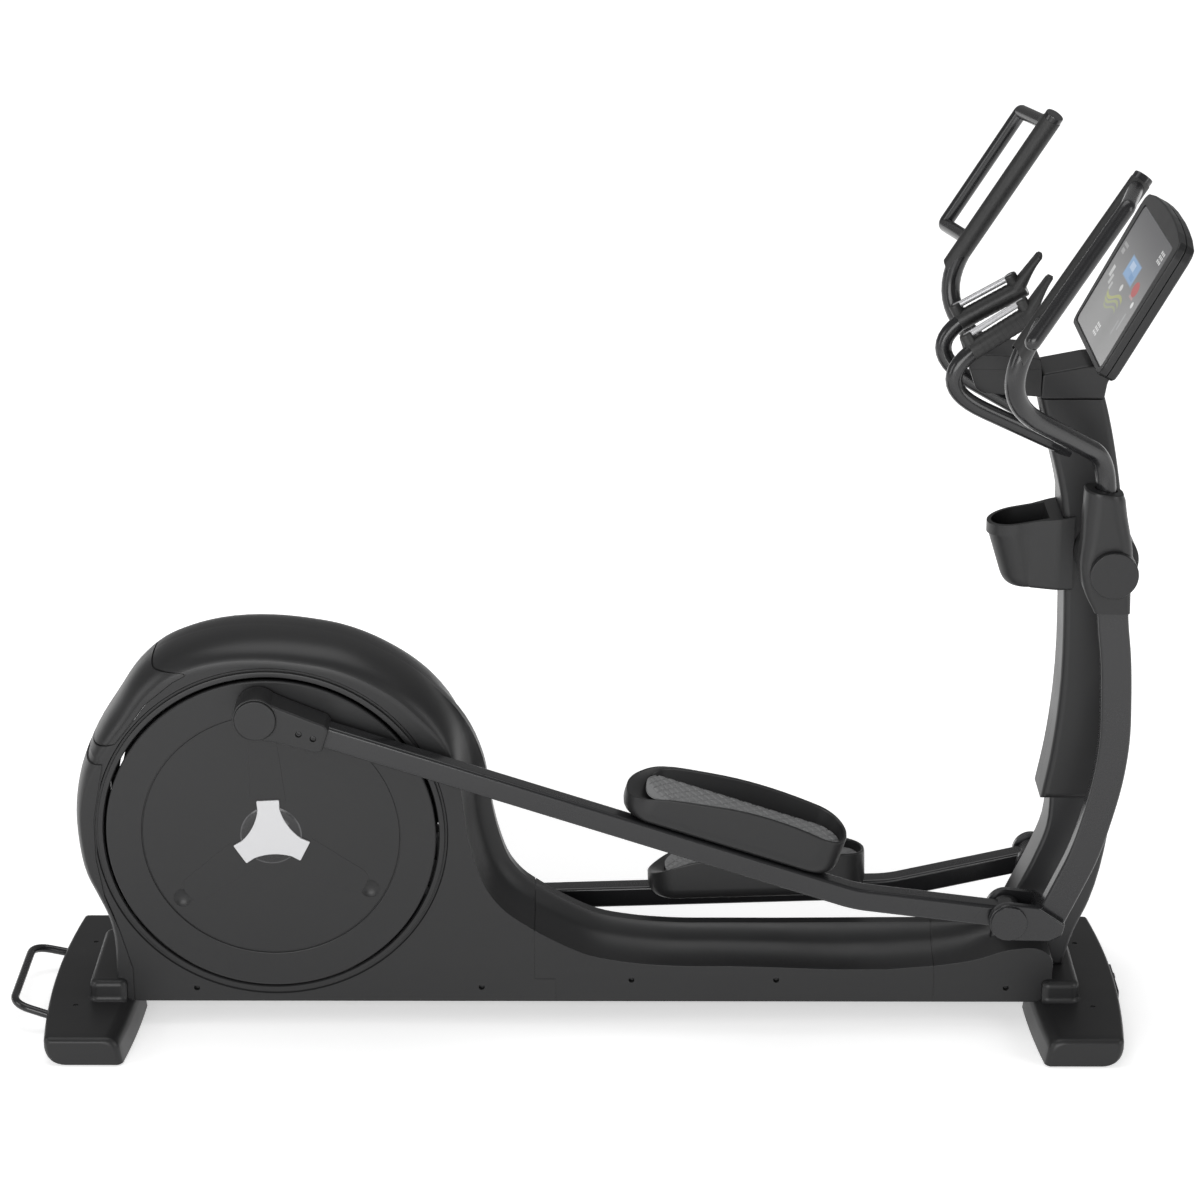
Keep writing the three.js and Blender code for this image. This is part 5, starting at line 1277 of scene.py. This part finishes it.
def planRing(inset, steps=14):
    radius = max(6, pedal["corner"] - inset)
    corners = roundedRect(pedal["start"] + inset, -pedal["outer"] + inset, pedal["end"] - inset,
                          -pedal["inner"] - inset, radius, steps)
    made = []
    for a, b in zip(corners, corners[1:] + corners[:1]):
        parts = 1 + int(math.dist(a, b) // 24)
        made += [[a[0] + (b[0] - a[0]) * k / parts, a[1] + (b[1] - a[1]) * k / parts] for k in range(parts)]
    return made


def makePan(name, side, place):
    bottom = pedalArm["height"] / 2 + 0.3
    base = planRing(0)
    lip = pedal["wall"]
    rings = []
    # how far in and how far above the bottom
    for inset, lift in ((26, 0), (17, 1.5), (9.5, 5), (4.2, 11), (1.2, 19), (0, 28)):
        ring = planRing(inset)
        if len(ring) != len(base):
            ring = matchRing(base, inset)
        rings.append([(pinX + x, y, pinZ + min(bottom + lift, rimHeight(bx, by) - 6))
                      for (x, y), (bx, by) in zip(ring, base)])
    # over the rim: how far in and how far below its top
    for inset, drop in ((0, 4.0), (0.5, 1.8), (1.7, 0.5), (3.4, 0.0), (5.0, 0.4), (6.4, 1.7), (lip, 4.0)):
        ring = [[rearShift(x, min(1, inset / 5)), y] for x, y in matchRing(base, inset)]
        rings.append([(pinX + x, y, pinZ + rimHeight(bx, by) - drop)
                      for (x, y), (bx, by) in zip(ring, base)])
    floor = pedal["floor"]
    for inset, lift in ((lip + 0.6, 6.0), (lip + 1.6, 2.0), (lip + 4.0, 0.0)):
        ring = [[rearShift(x), y] for x, y in matchRing(base, inset)]
        rings.append([(pinX + x, y, pinZ + min(floor + lift, rimHeight(bx, by) - 5))
                      for (x, y), (bx, by) in zip(ring, base)])
    pan = loft("foot_pan_" + name, rings)
    toScene(pan, side, place)
    finishPiece(pan, "pedal_" + name, "shellPlastic", ["pedal_pan_" + name], angle=60)


def rearShift(x, amount=1.0):
    # the rear rim is wide, so the floor starts further forward there
    share = min(1, max(0, (pedal["start"] + 130 - x) / 130))
    return x + pedal["rearRim"] * share * share * amount


def matchRing(base, inset):
    # the base ring moved inwards, point for point
    x0, x1 = pedal["start"], pedal["end"]
    y0, y1 = -pedal["outer"], -pedal["inner"]
    radius = pedal["corner"]
    made = []
    for x, y in base:
        cx = min(max(x, x0 + radius), x1 - radius)
        cy = min(max(y, y0 + radius), y1 - radius)
        away = Vector((x - cx, y - cy))
        away = away.normalized() if away.length > 1e-6 else Vector((0, 0))
        made.append([x - away.x * inset, y - away.y * inset])
    return made


treadShape = {"cell": 26.0, "ridge": 3.2, "pitch": 1.8, "thick": 2.2}


def makeTread(name, side, place):
    # a mat with raised crossing ribs, cut to the pan's floor
    gap = pedal["wall"] + 0.9
    x0, x1 = pedal["start"] + gap, pedal["end"] - gap
    y0, y1 = -pedal["outer"] + gap, -pedal["inner"] - gap
    pitch = treadShape["pitch"]
    columns, rows = int((x1 - x0) / pitch), int((y1 - y0) / pitch)
    radius = pedal["corner"] - gap
    floor = pedal["floor"] + 0.3
    points, faces = [], []
    for i in range(columns + 1):
        for j in range(rows + 1):
            x = x0 + (x1 - x0) * i / columns
            y = y0 + (y1 - y0) * j / rows
            cx = min(max(x, x0 + radius), x1 - radius)
            cy = min(max(y, y0 + radius), y1 - radius)
            far = math.hypot(x - cx, y - cy)
            if far > radius:
                x, y = cx + (x - cx) * radius / far, cy + (y - cy) * radius / far
            u = ((x + y) / treadShape["cell"]) % 1.0
            v = ((x - y) / treadShape["cell"]) % 1.0
            rib = max(0, 1 - 8 * min(u, 1 - u), 1 - 8 * min(v, 1 - v))
            edge = min(1, max(0, (radius - far) / 4)) if far > 0 else 1
            height = treadShape["thick"] + treadShape["ridge"] * (1 - rib) * edge
            x = rearShift(x)
            points.append((pinX + x, y, pinZ + min(floor + height, rimHeight(x, y) - 2.5)))
    for i in range(columns):
        for j in range(rows):
            a = i * (rows + 1) + j
            faces.append((a, a + rows + 1, a + rows + 2, a + 1))
    mat = meshFrom("foot_mat_" + name, points, faces)
    work = bmesh.new()
    work.from_mesh(mat.data)
    bmesh.ops.remove_doubles(work, verts=work.verts, dist=0.4)
    bmesh.ops.dissolve_degenerate(work, edges=work.edges, dist=0.05)
    rimEdges = [edge for edge in work.edges if edge.is_boundary]
    made = bmesh.ops.extrude_edge_only(work, edges=rimEdges)
    lower = [v for v in made["geom"] if isinstance(v, bmesh.types.BMVert)]
    for vert in lower:
        vert.co.z = pinZ + min(floor, rimHeight(vert.co.x - pinX, vert.co.y) - 6)
    bmesh.ops.contextual_create(work, geom=[edge for edge in work.edges if edge.is_boundary])
    bmesh.ops.recalc_face_normals(work, faces=work.faces)
    work.to_mesh(mat.data)
    work.free()
    toScene(mat, side, place)
    finishPiece(mat, "pedal_" + name, "treadRubber", ["pedal_tread_" + name], angle=35)


# swing arms, pivot sleeves and moving handles
swingArm = {"length": 715, "inner": 141, "outer": 175, "width": 56}
swingRun = [[14, -40], [30, -95], [56, -168], [78, -243], [98, -325], [107, -400], [108, -473], [103, -562],
            [92, -625], [76, -705]]
sleeve = {"inner": 125, "outer": 199, "cap": 44, "capThick": 13}
handle = {"radius": 18, "loopRadius": 13.5, "lowBend": 83, "highBend": 133}
handleRun = [(-35, -162, 100), (-69, -161, 200), (-337, -376, 319), (-162.5, -266, 730)]
loopRun = [(-171.5, -272, 709), (-205.5, -416, 699), (-311, -482, 451), (-277.5, -339, 459)]


def swingTube(name, grow):
    path = smoothThrough(swingRun, 5)
    left, right = [], []
    for i, (x, z) in enumerate(path):
        ax, az = path[max(i - 1, 0)]
        bx, bz = path[min(i + 1, len(path) - 1)]
        size = math.hypot(bx - ax, bz - az)
        nx, nz = -(bz - az) / size, (bx - ax) / size
        w = swingArm["width"] / 2 + grow
        left.append([x + nx * w, z + nz * w])
        right.append([x - nx * w, z - nz * w])
    return prism(name, left + right[::-1], "Y", -swingArm["outer"] - grow, -swingArm["inner"] + grow,
                 rounding=6, steps=4)


def makeSwing(name, side, place):
    z = -swingArm["length"]
    bar = swingTube("swing_bar_" + name, 0)
    outline = roundedOutline([[104, z + 20], [104, z - 4], [84, z - 21], [0, z - fork["radius"]],
                              [-10, z - fork["radius"] + 2], [-10, z + fork["radius"] - 2],
                              [0, z + fork["radius"]], [48, z + 42]], [4, 12, 12, 12, 6, 6, 10, 4])
    block = prism("forkBlock", outline, "Y", -fork["outer"], -fork["inner"], rounding=4, steps=4)
    fuse(block, drum("forkEnd", 0, z, fork["radius"], -fork["outer"], -fork["inner"], rounding=3, steps=80))
    carve(block, boxTool(-70, 44, -fork["outer"] + fork["cheek"], -fork["inner"] - fork["cheek"],
                         z - 80, z + 80))
    fuse(block, drum("forkPin", 0, z, fork["pin"], -fork["outer"] + 1, -fork["inner"] - 1, steps=40))
    fuse(bar, block)
    for low, high in ((-fork["outer"] - fork["capThick"], -fork["outer"] + 1),
                      (-fork["inner"] - 1, -fork["inner"] + fork["capThick"])):
        fuse(bar, drum("forkCap", 0, z, fork["cap"], low, high, rounding=1.8, steps=80))
    toScene(bar, side, place)
    finishPiece(bar, "swing_" + name, "glossPaint", ["swing_arm_" + name], angle=30)


# left and right end of each slice, from the top down, and how round its corners are
sleeveLevels = [[-88, 140, -16, 144, 30], [-80, 96, 0, 104, 30], [-69, 44, 24, 50, 26],
                [-60, -6, 32, 16, 20], [-40, -48, 42, -30, 14], [-12, -82, 51, -68, 9]]


def makeSleeve(name, side, place):
    levels = smoothThrough(sleeveLevels, 4)
    top = levels[0]
    # the mouth is rounded over by two slices that are drawn in
    mouth = [[top[0] + 5, top[1], top[2] - 5, top[3], top[4] - 4],
             [top[0] + 1.4, top[1] - 1.4, top[2] - 1.4, top[3] - 1.4, top[4] - 1.2],
             [top[0], top[1] - 5, top[2], top[3] - 5, top[4]]]
    levels = mouth + levels[1:]
    rings = []
    for leftX, leftZ, rightX, rightZ, corner in levels:
        slim = 0
        if leftZ > top[1] - 0.1:
            slim = 5
        elif leftZ > top[1] - 1.5:
            slim = 1.4
        wide = math.hypot(rightX - leftX, rightZ - leftZ)
        ring = []
        for u, y in roundedRect(0, -sleeve["outer"] + slim, wide, -sleeve["inner"] - slim, corner, 8):
            ring.append((leftX + (rightX - leftX) * u / wide, y, leftZ + (rightZ - leftZ) * u / wide))
        rings.append(ring)
    body = loft("arm_sleeve_" + name, rings)
    fuse(body, drum("barrel", 0, 0, sleeve["cap"], -sleeve["outer"], -sleeve["inner"], rounding=2,
                    steps=96))
    face, cap = -sleeve["outer"], sleeve["cap"]
    groove = ringLathe("capGroove", [(cap - 1.5, face - 1.5), (cap + 1.5, face - 1.5),
                                     (cap + 1.5, face + 0.2), (cap - 1.5, face + 0.2)], 0, 0, 96)
    fuse(body, drum("sleeveCap", 0, 0, cap, face - sleeve["capThick"], face + 1, rounding=2.6, steps=96))
    carve(body, groove)
    carve(body, drum("shaftBore", 0, 0, 20.6, -sleeve["outer"] - 0.3, 0), swingTube("swingSpace", 0.4),
          handlePipe("handleSpace", 0.4))
    carve(body, keep(handlePipe("handleMouth", 2.6), boxTool(-200, 100, -240, -100, 128, 170)))
    toScene(body, side, place)
    finishPiece(body, "swing_" + name, "shellPlastic", ["pivot_sleeve_" + name], angle=30)


def handlePipe(name, grow):
    return pipe(name, handleRun, [handle["lowBend"], handle["highBend"]], handle["radius"] + grow, 32,
                endRounding=0 if grow else 2.5)


def loopPipe(name, grow):
    return pipe(name, loopRun, [7, 7], handle["loopRadius"] + grow, 28, endRounding=0)


swingGrip = {"thick": 0.9, "start": 0.135, "stop": 0.975}


def makeHandle(name, side, place):
    bar = handlePipe("moving_bar_" + name, 0)
    fuse(bar, loopPipe("loop", 0))
    toScene(bar, side, place)
    finishPiece(bar, "swing_" + name, "glossPaint", ["moving_handle_" + name], angle=40)
    low, high = Vector(handleRun[2]), Vector(handleRun[3])
    ends = [between(low, high, swingGrip["start"]), between(low, high, swingGrip["stop"])]
    soft = pipe("handle_grip_" + name, ends, [], handle["radius"] + swingGrip["thick"], 36, endRounding=1.2)
    ends = [between(low, high, swingGrip["start"] - 0.02), between(low, high, swingGrip["stop"] + 0.02)]
    carve(soft, pipe("gripBore", ends, [], handle["radius"] + 0.15, 36, endRounding=0))
    along = (high - low).normalized()
    start = low.lerp(high, swingGrip["start"])
    across = along.cross(Vector((0, 1, 0))).normalized()
    wedge = meshFrom("wedge", *wedgeMesh(start, along, across, 34, 40))
    carve(soft, wedge, loopPipe("loopSpace", 0.2))
    toScene(soft, side, place)
    finishPiece(soft, "swing_" + name, "gripRubber", angle=30)


def wedgeMesh(start, along, across, wide, tall):
    # a tool that trims the lower end of the grip on a slant
    side = along.cross(across)
    a = start - along * 8
    flat = [a - across * wide - side * wide, a + across * wide - side * wide,
            a + across * wide + side * wide, a - across * wide + side * wide]
    corners = flat + [corner + along * rise for corner, rise in zip(flat, (9, 9 + tall, 9 + tall, 9))]
    faces = [(0, 3, 2, 1), (4, 5, 6, 7), (0, 1, 5, 4), (1, 2, 6, 5), (2, 3, 7, 6), (3, 0, 4, 7)]
    return [tuple(c) for c in corners], faces


# static bars with hand grips, pulse plates and quick keys
fixedBar = {"radius": 15.5, "bend": 76, "rootBend": 30, "sleeve": 18.5, "sensor": 6, "lift": 28.5}
barRun = [(905, -46, 1143), (865, -60, 1164), (623, -116, 1291), (825, -88, 1415)]
horn = {"from": 0.93, "thin": 6.0, "wide": 15.5, "tip": (849, -79, 1476), "aim": (24, 9, 61),
        "keyThin": 4.4, "keyWide": 11.0}


def onSide(points, side):
    return [(x, y if side < 0 else -y, z) for x, y, z in points]


def between(a, b, share):
    return tuple(Vector(a).lerp(Vector(b), share))


def barBody(name, side, grow):
    bends = [fixedBar["rootBend"], fixedBar["bend"]]
    return pipe(name, onSide(barRun, side), bends, fixedBar["radius"] + grow, 36,
                endRounding=0 if grow else 2)


def aboveBar(share, height):
    x, y, z = between(barRun[2], barRun[3], share)
    return (x - 0.5 * height, y, z + 0.86 * height)


def sensorBody(name, grow):
    ends = [aboveBar(0.44, fixedBar["lift"]), aboveBar(0.96, fixedBar["lift"])]
    return pipe(name, ends, [], fixedBar["sensor"] + grow, 24, endRounding=0 if grow else 1.5)


def hornBody():
    # a thumb paddle: the grip's end flattens upwards to a thin tip that holds the key
    corner, end = Vector(barRun[2]), Vector(barRun[3])
    sideways = Vector((0, 1, 0))
    along, aim, tip = (end - corner).normalized(), Vector(horn["aim"]).normalized(), Vector(horn["tip"])
    lowUp, highUp = along.cross(sideways).normalized(), aim.cross(sideways).normalized()
    start = corner.lerp(end, horn["from"])
    upper = (start + lowUp * fixedBar["sleeve"], tip + highUp * horn["thin"])
    rings = []
    rows = [(k / 14, 0.0) for k in range(14)] + [(0.975, 0.0), (0.99, 0.7), (1.0, 2.0)]
    for t, inset in rows:
        up = lowUp.lerp(highUp, t).normalized()
        across = up.cross(along.lerp(aim, t)).normalized()
        deep = horn["thin"] + (fixedBar["sleeve"] - horn["thin"]) * (1 - t) ** 1.9
        wide = fixedBar["sleeve"] + (horn["wide"] - fixedBar["sleeve"]) * t
        middle = upper[0].lerp(upper[1], t) - up * deep
        exponent = 1 - 0.35 * t
        ring = []
        for i in range(40):
            turn = 2 * math.pi * i / 40
            u, v = math.cos(turn), math.sin(turn)
            u, v = math.copysign(abs(u) ** exponent, u), math.copysign(abs(v) ** exponent, v)
            ring.append(middle + up * u * (deep - inset) + across * v * (wide - inset))
        rings.append(ring)
    return loft("horn", rings)


def keyBlock(name, low, high, grow, rounding=0.0):
    # the key's oval block, from low to high along the way it is pressed
    aim, tip = Vector(horn["aim"]).normalized(), Vector(horn["tip"])
    up = aim.cross(Vector((0, 1, 0))).normalized()
    across = up.cross(aim).normalized()
    thin, wide = horn["keyThin"] + grow, horn["keyWide"] + grow
    block = prism(name, roundedRect(-wide, -thin, wide, thin, thin * 0.95, 7), "Z", low, high, rounding)
    block.data.transform(Matrix((across, up, aim)).transposed().to_4x4())
    block.data.transform(Matrix.Translation(tip))
    if across.cross(up).dot(aim) < 0:
        block.data.flip_normals()
    return block


def makeStaticBar(name, side):
    tube = barBody("static_tube_" + name, -1, 0)
    carve(tube, postTool(clearance))
    toScene(tube, side)
    finishPiece(tube, "frame", "glossPaint", ["static_bar_" + name], angle=40)

    corner, end = barRun[2], barRun[3]
    grip = pipe("static_grip_" + name, [between(corner, end, 0.43), end], [], fixedBar["sleeve"], 36,
                endRounding=1.6)
    fuse(grip, hornBody())
    for share in (0.455, 0.94):
        block = pipe("block", [aboveBar(share, 0), aboveBar(share, 34)], [], 12, 28, endRounding=3)
        fuse(grip, block)
    carve(grip, barBody("barSpace", -1, 0.3), sensorBody("sensorSpace", 0.3))
    carve(grip, keyBlock("keySpace", -5, 6, 0.35))
    along = (Vector(end) - Vector(corner)).normalized()
    for k in range(9):
        at = Vector(between(corner, end, 0.52 + 0.045 * k))
        ring = pipe("gripRing", [at - along * 1.1, at + along * 1.1], [], fixedBar["sleeve"] + 1, 36,
                    endRounding=0)
        carve(ring, pipe("ringCore", [at - along * 3, at + along * 3], [], fixedBar["sleeve"] - 0.7, 36,
                         endRounding=0))
        carve(grip, ring)
    toScene(grip, side)
    finishPiece(grip, "frame", "gripRubber", ["hand_grip_" + name], angle=35)

    sensor = toScene(sensorBody("pulse_plate_" + name, 0), side)
    finishPiece(sensor, "frame", "brushedSteel", ["pulse_sensor_" + name], angle=40)
    key = keyBlock("key_button_" + name, -2.2, 2.5, 0, rounding=0.9)
    toScene(key, side)
    finishPiece(key, "quick_key_" + name, "gripRubber", ["quick_key_" + name], angle=35)


# console, in its own frame: 0 is the face of the screen, x runs into the housing and z up the screen
console = {"x": 935, "z": 1332, "tilt": 28.3, "face": -1.5, "front": 14, "depth": 31}
screen = {"width": 334, "height": 246, "thick": 3, "corner": 12}
consolePlace = Matrix.Translation((console["x"] * mm, 0, console["z"] * mm)) @ Matrix.Rotation(
    math.radians(console["tilt"]), 4, "Y")


def consoleOutline(grow):
    half = [[172, -12 - grow], [182 + grow, -7], [187 + grow, 6], [200 + grow, 238], [197 + grow, 254],
            [186 + grow, 265 + grow], [140, 273.5 + grow], [90, 278 + grow], [40, 280.5 + grow]]
    run = half + [[-y, z] for y, z in reversed(half)]
    return roundedOutline(run, [8, 6, 20, 30, 12, 12, 60, 60, 60] + [60, 60, 60, 12, 12, 30, 20, 6, 8], 4)


def screenOutline(grow):
    half = screen["width"] / 2 + grow
    return roundedRect(-half, -grow, half, screen["height"] + grow, screen["corner"], 6)


def consoleSpace():
    space = prism("consoleSpace", consoleOutline(0.3), "X", -2, console["depth"] + 0.3)
    space.data.transform(Matrix.Translation((console["x"], 0, console["z"]))
                         @ Matrix.Rotation(math.radians(console["tilt"]), 4, "Y"))
    return space


def makeConsole():
    front = prism("console_bezel", consoleOutline(0), "X", console["face"], console["front"], rounding=3,
                  steps=4)
    carve(front, prism("screenSpace", screenOutline(0.3), "X", -5, screen["thick"] + 0.3),
          prism("bezelStep", screenOutline(2.2), "X", -5, -0.4))
    toScene(front, place=consolePlace)
    finishPiece(front, "frame", "shellPlastic", ["console_front_housing"], angle=30)

    back = prism("console_back", consoleOutline(0), "X", console["front"] - 30, console["depth"],
                 rounding=9, steps=5)
    carve(back, prism("frontHalf", consoleOutline(5), "X", console["front"] - 40, console["front"] + 0.3),
          prism("backCore", [[y * 0.93, z * 0.9 + 13] for y, z in consoleOutline(0)], "X", 0,
                console["depth"] - 3.5))
    for row in range(4):
        for column in range(-3, 4):
            z = 196 + row * 12
            slot = roundedRect(column * 26 - 9, z, column * 26 + 9, z + 5, 2.4, 4)
            carve(back, prism("vent", slot, "X", 20, 40))
    toScene(back, place=consolePlace)
    finishPiece(back, "frame", "shellPlastic", ["console_back_cover"], angle=30)

    glass = prism("screen_panel", screenOutline(0), "X", 0, screen["thick"], rounding=0.6, steps=2)
    plan = glass.data.uv_layers.new(name="screenPlan")
    for loop in glass.data.loops:
        spot = glass.data.vertices[loop.vertex_index].co
        plan.data[loop.index].uv = (0.5 - spot.y / screen["width"], spot.z / screen["height"])
    toScene(glass, place=consolePlace)
    finishPiece(glass, "frame", "screenFace", ["screen_glass"], angle=30)


def neckOutline():
    top = mast["top"] + 0.3
    return roundedOutline([[844, top], [846, 1288], [928, 1304], [948, 1306], [950, 1330], [980, 1386],
                           [1006, 1386], [1022, 1362], [990, 1312], [966, 1272], [961, top]],
                          [0, 8, 10, 6, 6, 8, 10, 14, 30, 30, 0], 4)


def makeNeck():
    neck = prism("neck_cover", neckOutline(), "Y", -mast["half"], mast["half"], rounding=5, steps=4)
    carve(neck, consoleSpace(), boxTool(700, 1100, -100, 100, 1100, mast["top"] + 0.3))
    toScene(neck)
    finishPiece(neck, "frame", "shellPlastic", ["console_neck"], angle=30)


pod = {"half": 60, "seam": 1298}


def podBlock(name):
    shape = roundedOutline([[704, 1328], [712, 1305], [726, 1262], [740, 1253], [845, 1246], [845, 1290],
                            [842, 1318], [780, 1324]], [5, 20, 10, 10, 3, 3, 5, 30], 5)
    return prism(name, shape, "Y", -pod["half"], pod["half"], rounding=8, steps=5)


def makePods():
    upper = podBlock("pod_top")
    reach = mast["half"] + clearance
    carve(upper, barBody("barSpace", -1, 0.6), barBody("barSpace", 1, 0.6),
          prism("neckSpace", neckOutline(), "Y", -reach, reach))
    lower = twin(upper, "pod_bottom")
    carve(upper, boxTool(600, 900, -100, 100, 1200, pod["seam"] + 0.15))
    carve(lower, boxTool(600, 900, -100, 100, pod["seam"] - 0.15, 1400))
    for piece, node in ((upper, "pod_upper"), (lower, "pod_lower")):
        toScene(piece)
        finishPiece(piece, "frame", "shellPlastic", [node], angle=30)


# cup holder
cup = {"rear": 765, "half": 52, "front": 917, "collarHalf": 66, "bottom": 874, "rearTop": 991,
       "frontTop": 1018, "floor": 10, "wall": 5, "taper": 30, "band": 20, "bandRise": 3}


def stadium(inset):
    half, ahead = cup["half"] - inset, cup["front"] + 10
    return arc(cup["rear"] + cup["half"], 0, half, 90, 270, 28) + [[ahead, -half], [ahead, half]]


def cupLevel(x):
    slope = (cup["frontTop"] - cup["rearTop"]) / (cup["front"] - cup["rear"])
    return cup["rearTop"] + slope * (x - cup["rear"])


def slantOver():
    # everything above the slanted top
    return prism("slantOver", [[600, cupLevel(600)], [1000, cupLevel(1000)], [1000, 1400], [600, 1400]],
                 "Y", -100, 100)


def cupRings(inset, floorLift, cornerInset, cornerRise):
    # a soft bottom edge, a taper up to the band, then straight up
    rows = []
    for i in range(7):
        angle = math.radians(15 * i)
        rows.append((inset + cornerInset * (1 - math.sin(angle)),
                     cup["bottom"] + floorLift + cornerRise * (1 - math.cos(angle))))
    bandLow = cup["rearTop"] - cup["band"]
    rows += [(inset, bandLow), (inset, 1120)]
    rings = []
    for shrink, z in rows:
        share = max(0, (bandLow - z) / (bandLow - cup["bottom"]))
        squeeze = cup["taper"] * share / (cup["front"] - cup["rear"])
        rings.append([(x + (cup["front"] - x) * squeeze, y, z) for x, y in stadium(shrink)])
    return rings


def makeCup():
    body = loft("cup_tray", cupRings(0, 0, 10, 20))
    band = loft("rimBand", [[(x, y, z) for x, y in stadium(-cup["bandRise"])] for z in (900, 1120)])
    carve(band, prism("bandLow", [[600, 700], [1000, 700], [1000, cupLevel(1000) - cup["band"]],
                                  [600, cupLevel(600) - cup["band"]]], "Y", -100, 100))
    fuse(body, band)
    half, ahead = cup["collarHalf"], cup["front"] + 20
    plan = roundedOutline([[838, -51], [886, -half], [ahead, -half], [ahead, half], [886, half], [838, 51]],
                          [0, 60, 0, 0, 60, 0], 8)
    collar = prism("collar", plan, "Z", cup["bottom"], cup["frontTop"] + 40, rounding=8, steps=4)
    fuse(body, collar)
    carve(body, slantOver())
    pocket = loft("pocket", cupRings(cup["wall"], cup["floor"], 9, 17))
    keep(pocket, boxTool(700, 873, -100, 100, 800, 1200))
    carve(body, pocket,
          prism("mastSpace", coverOutline(-0.7), "Y", -mast["half"] - clearance,
                mast["half"] + clearance),
          drum("bossSpace", pivotX, pivotZ, mast["bossRadius"] + 1, -200, 200),
          boxTool(cup["front"], 1100, -200, 200, 800, 1300))
    toScene(body)
    finishPiece(body, "frame", "shellPlastic", ["cup_holder"], angle=30)


# everything in its place on its joint
for name, side in sides:
    swingPlace, pedalPlace, turn = armPlaces(name, side)
    makeDisc(name, side, turn)
    makeHub(name, side, turn)
    makeArm(name, side, pedalPlace)
    makeJoint(name, side, pedalPlace)
    makePan(name, side, pedalPlace)
    makeTread(name, side, pedalPlace)
    makeSwing(name, side, swingPlace)
    makeSleeve(name, side, swingPlace)
    makeHandle(name, side, swingPlace)
    makeStaticBar(name, side)
print("stage: linkage and bars are built")
makeCovers()
makeFeet()
makePullHandle()
print("stage: covers and feet are built")
makeMast()
makeNeck()
makePods()
makeCup()
makeConsole()
print("stage: mast and console are built")

for node in sorted(nodes):
    if node not in built:
        dressNode(node)
print("stage: carried nodes are dressed")
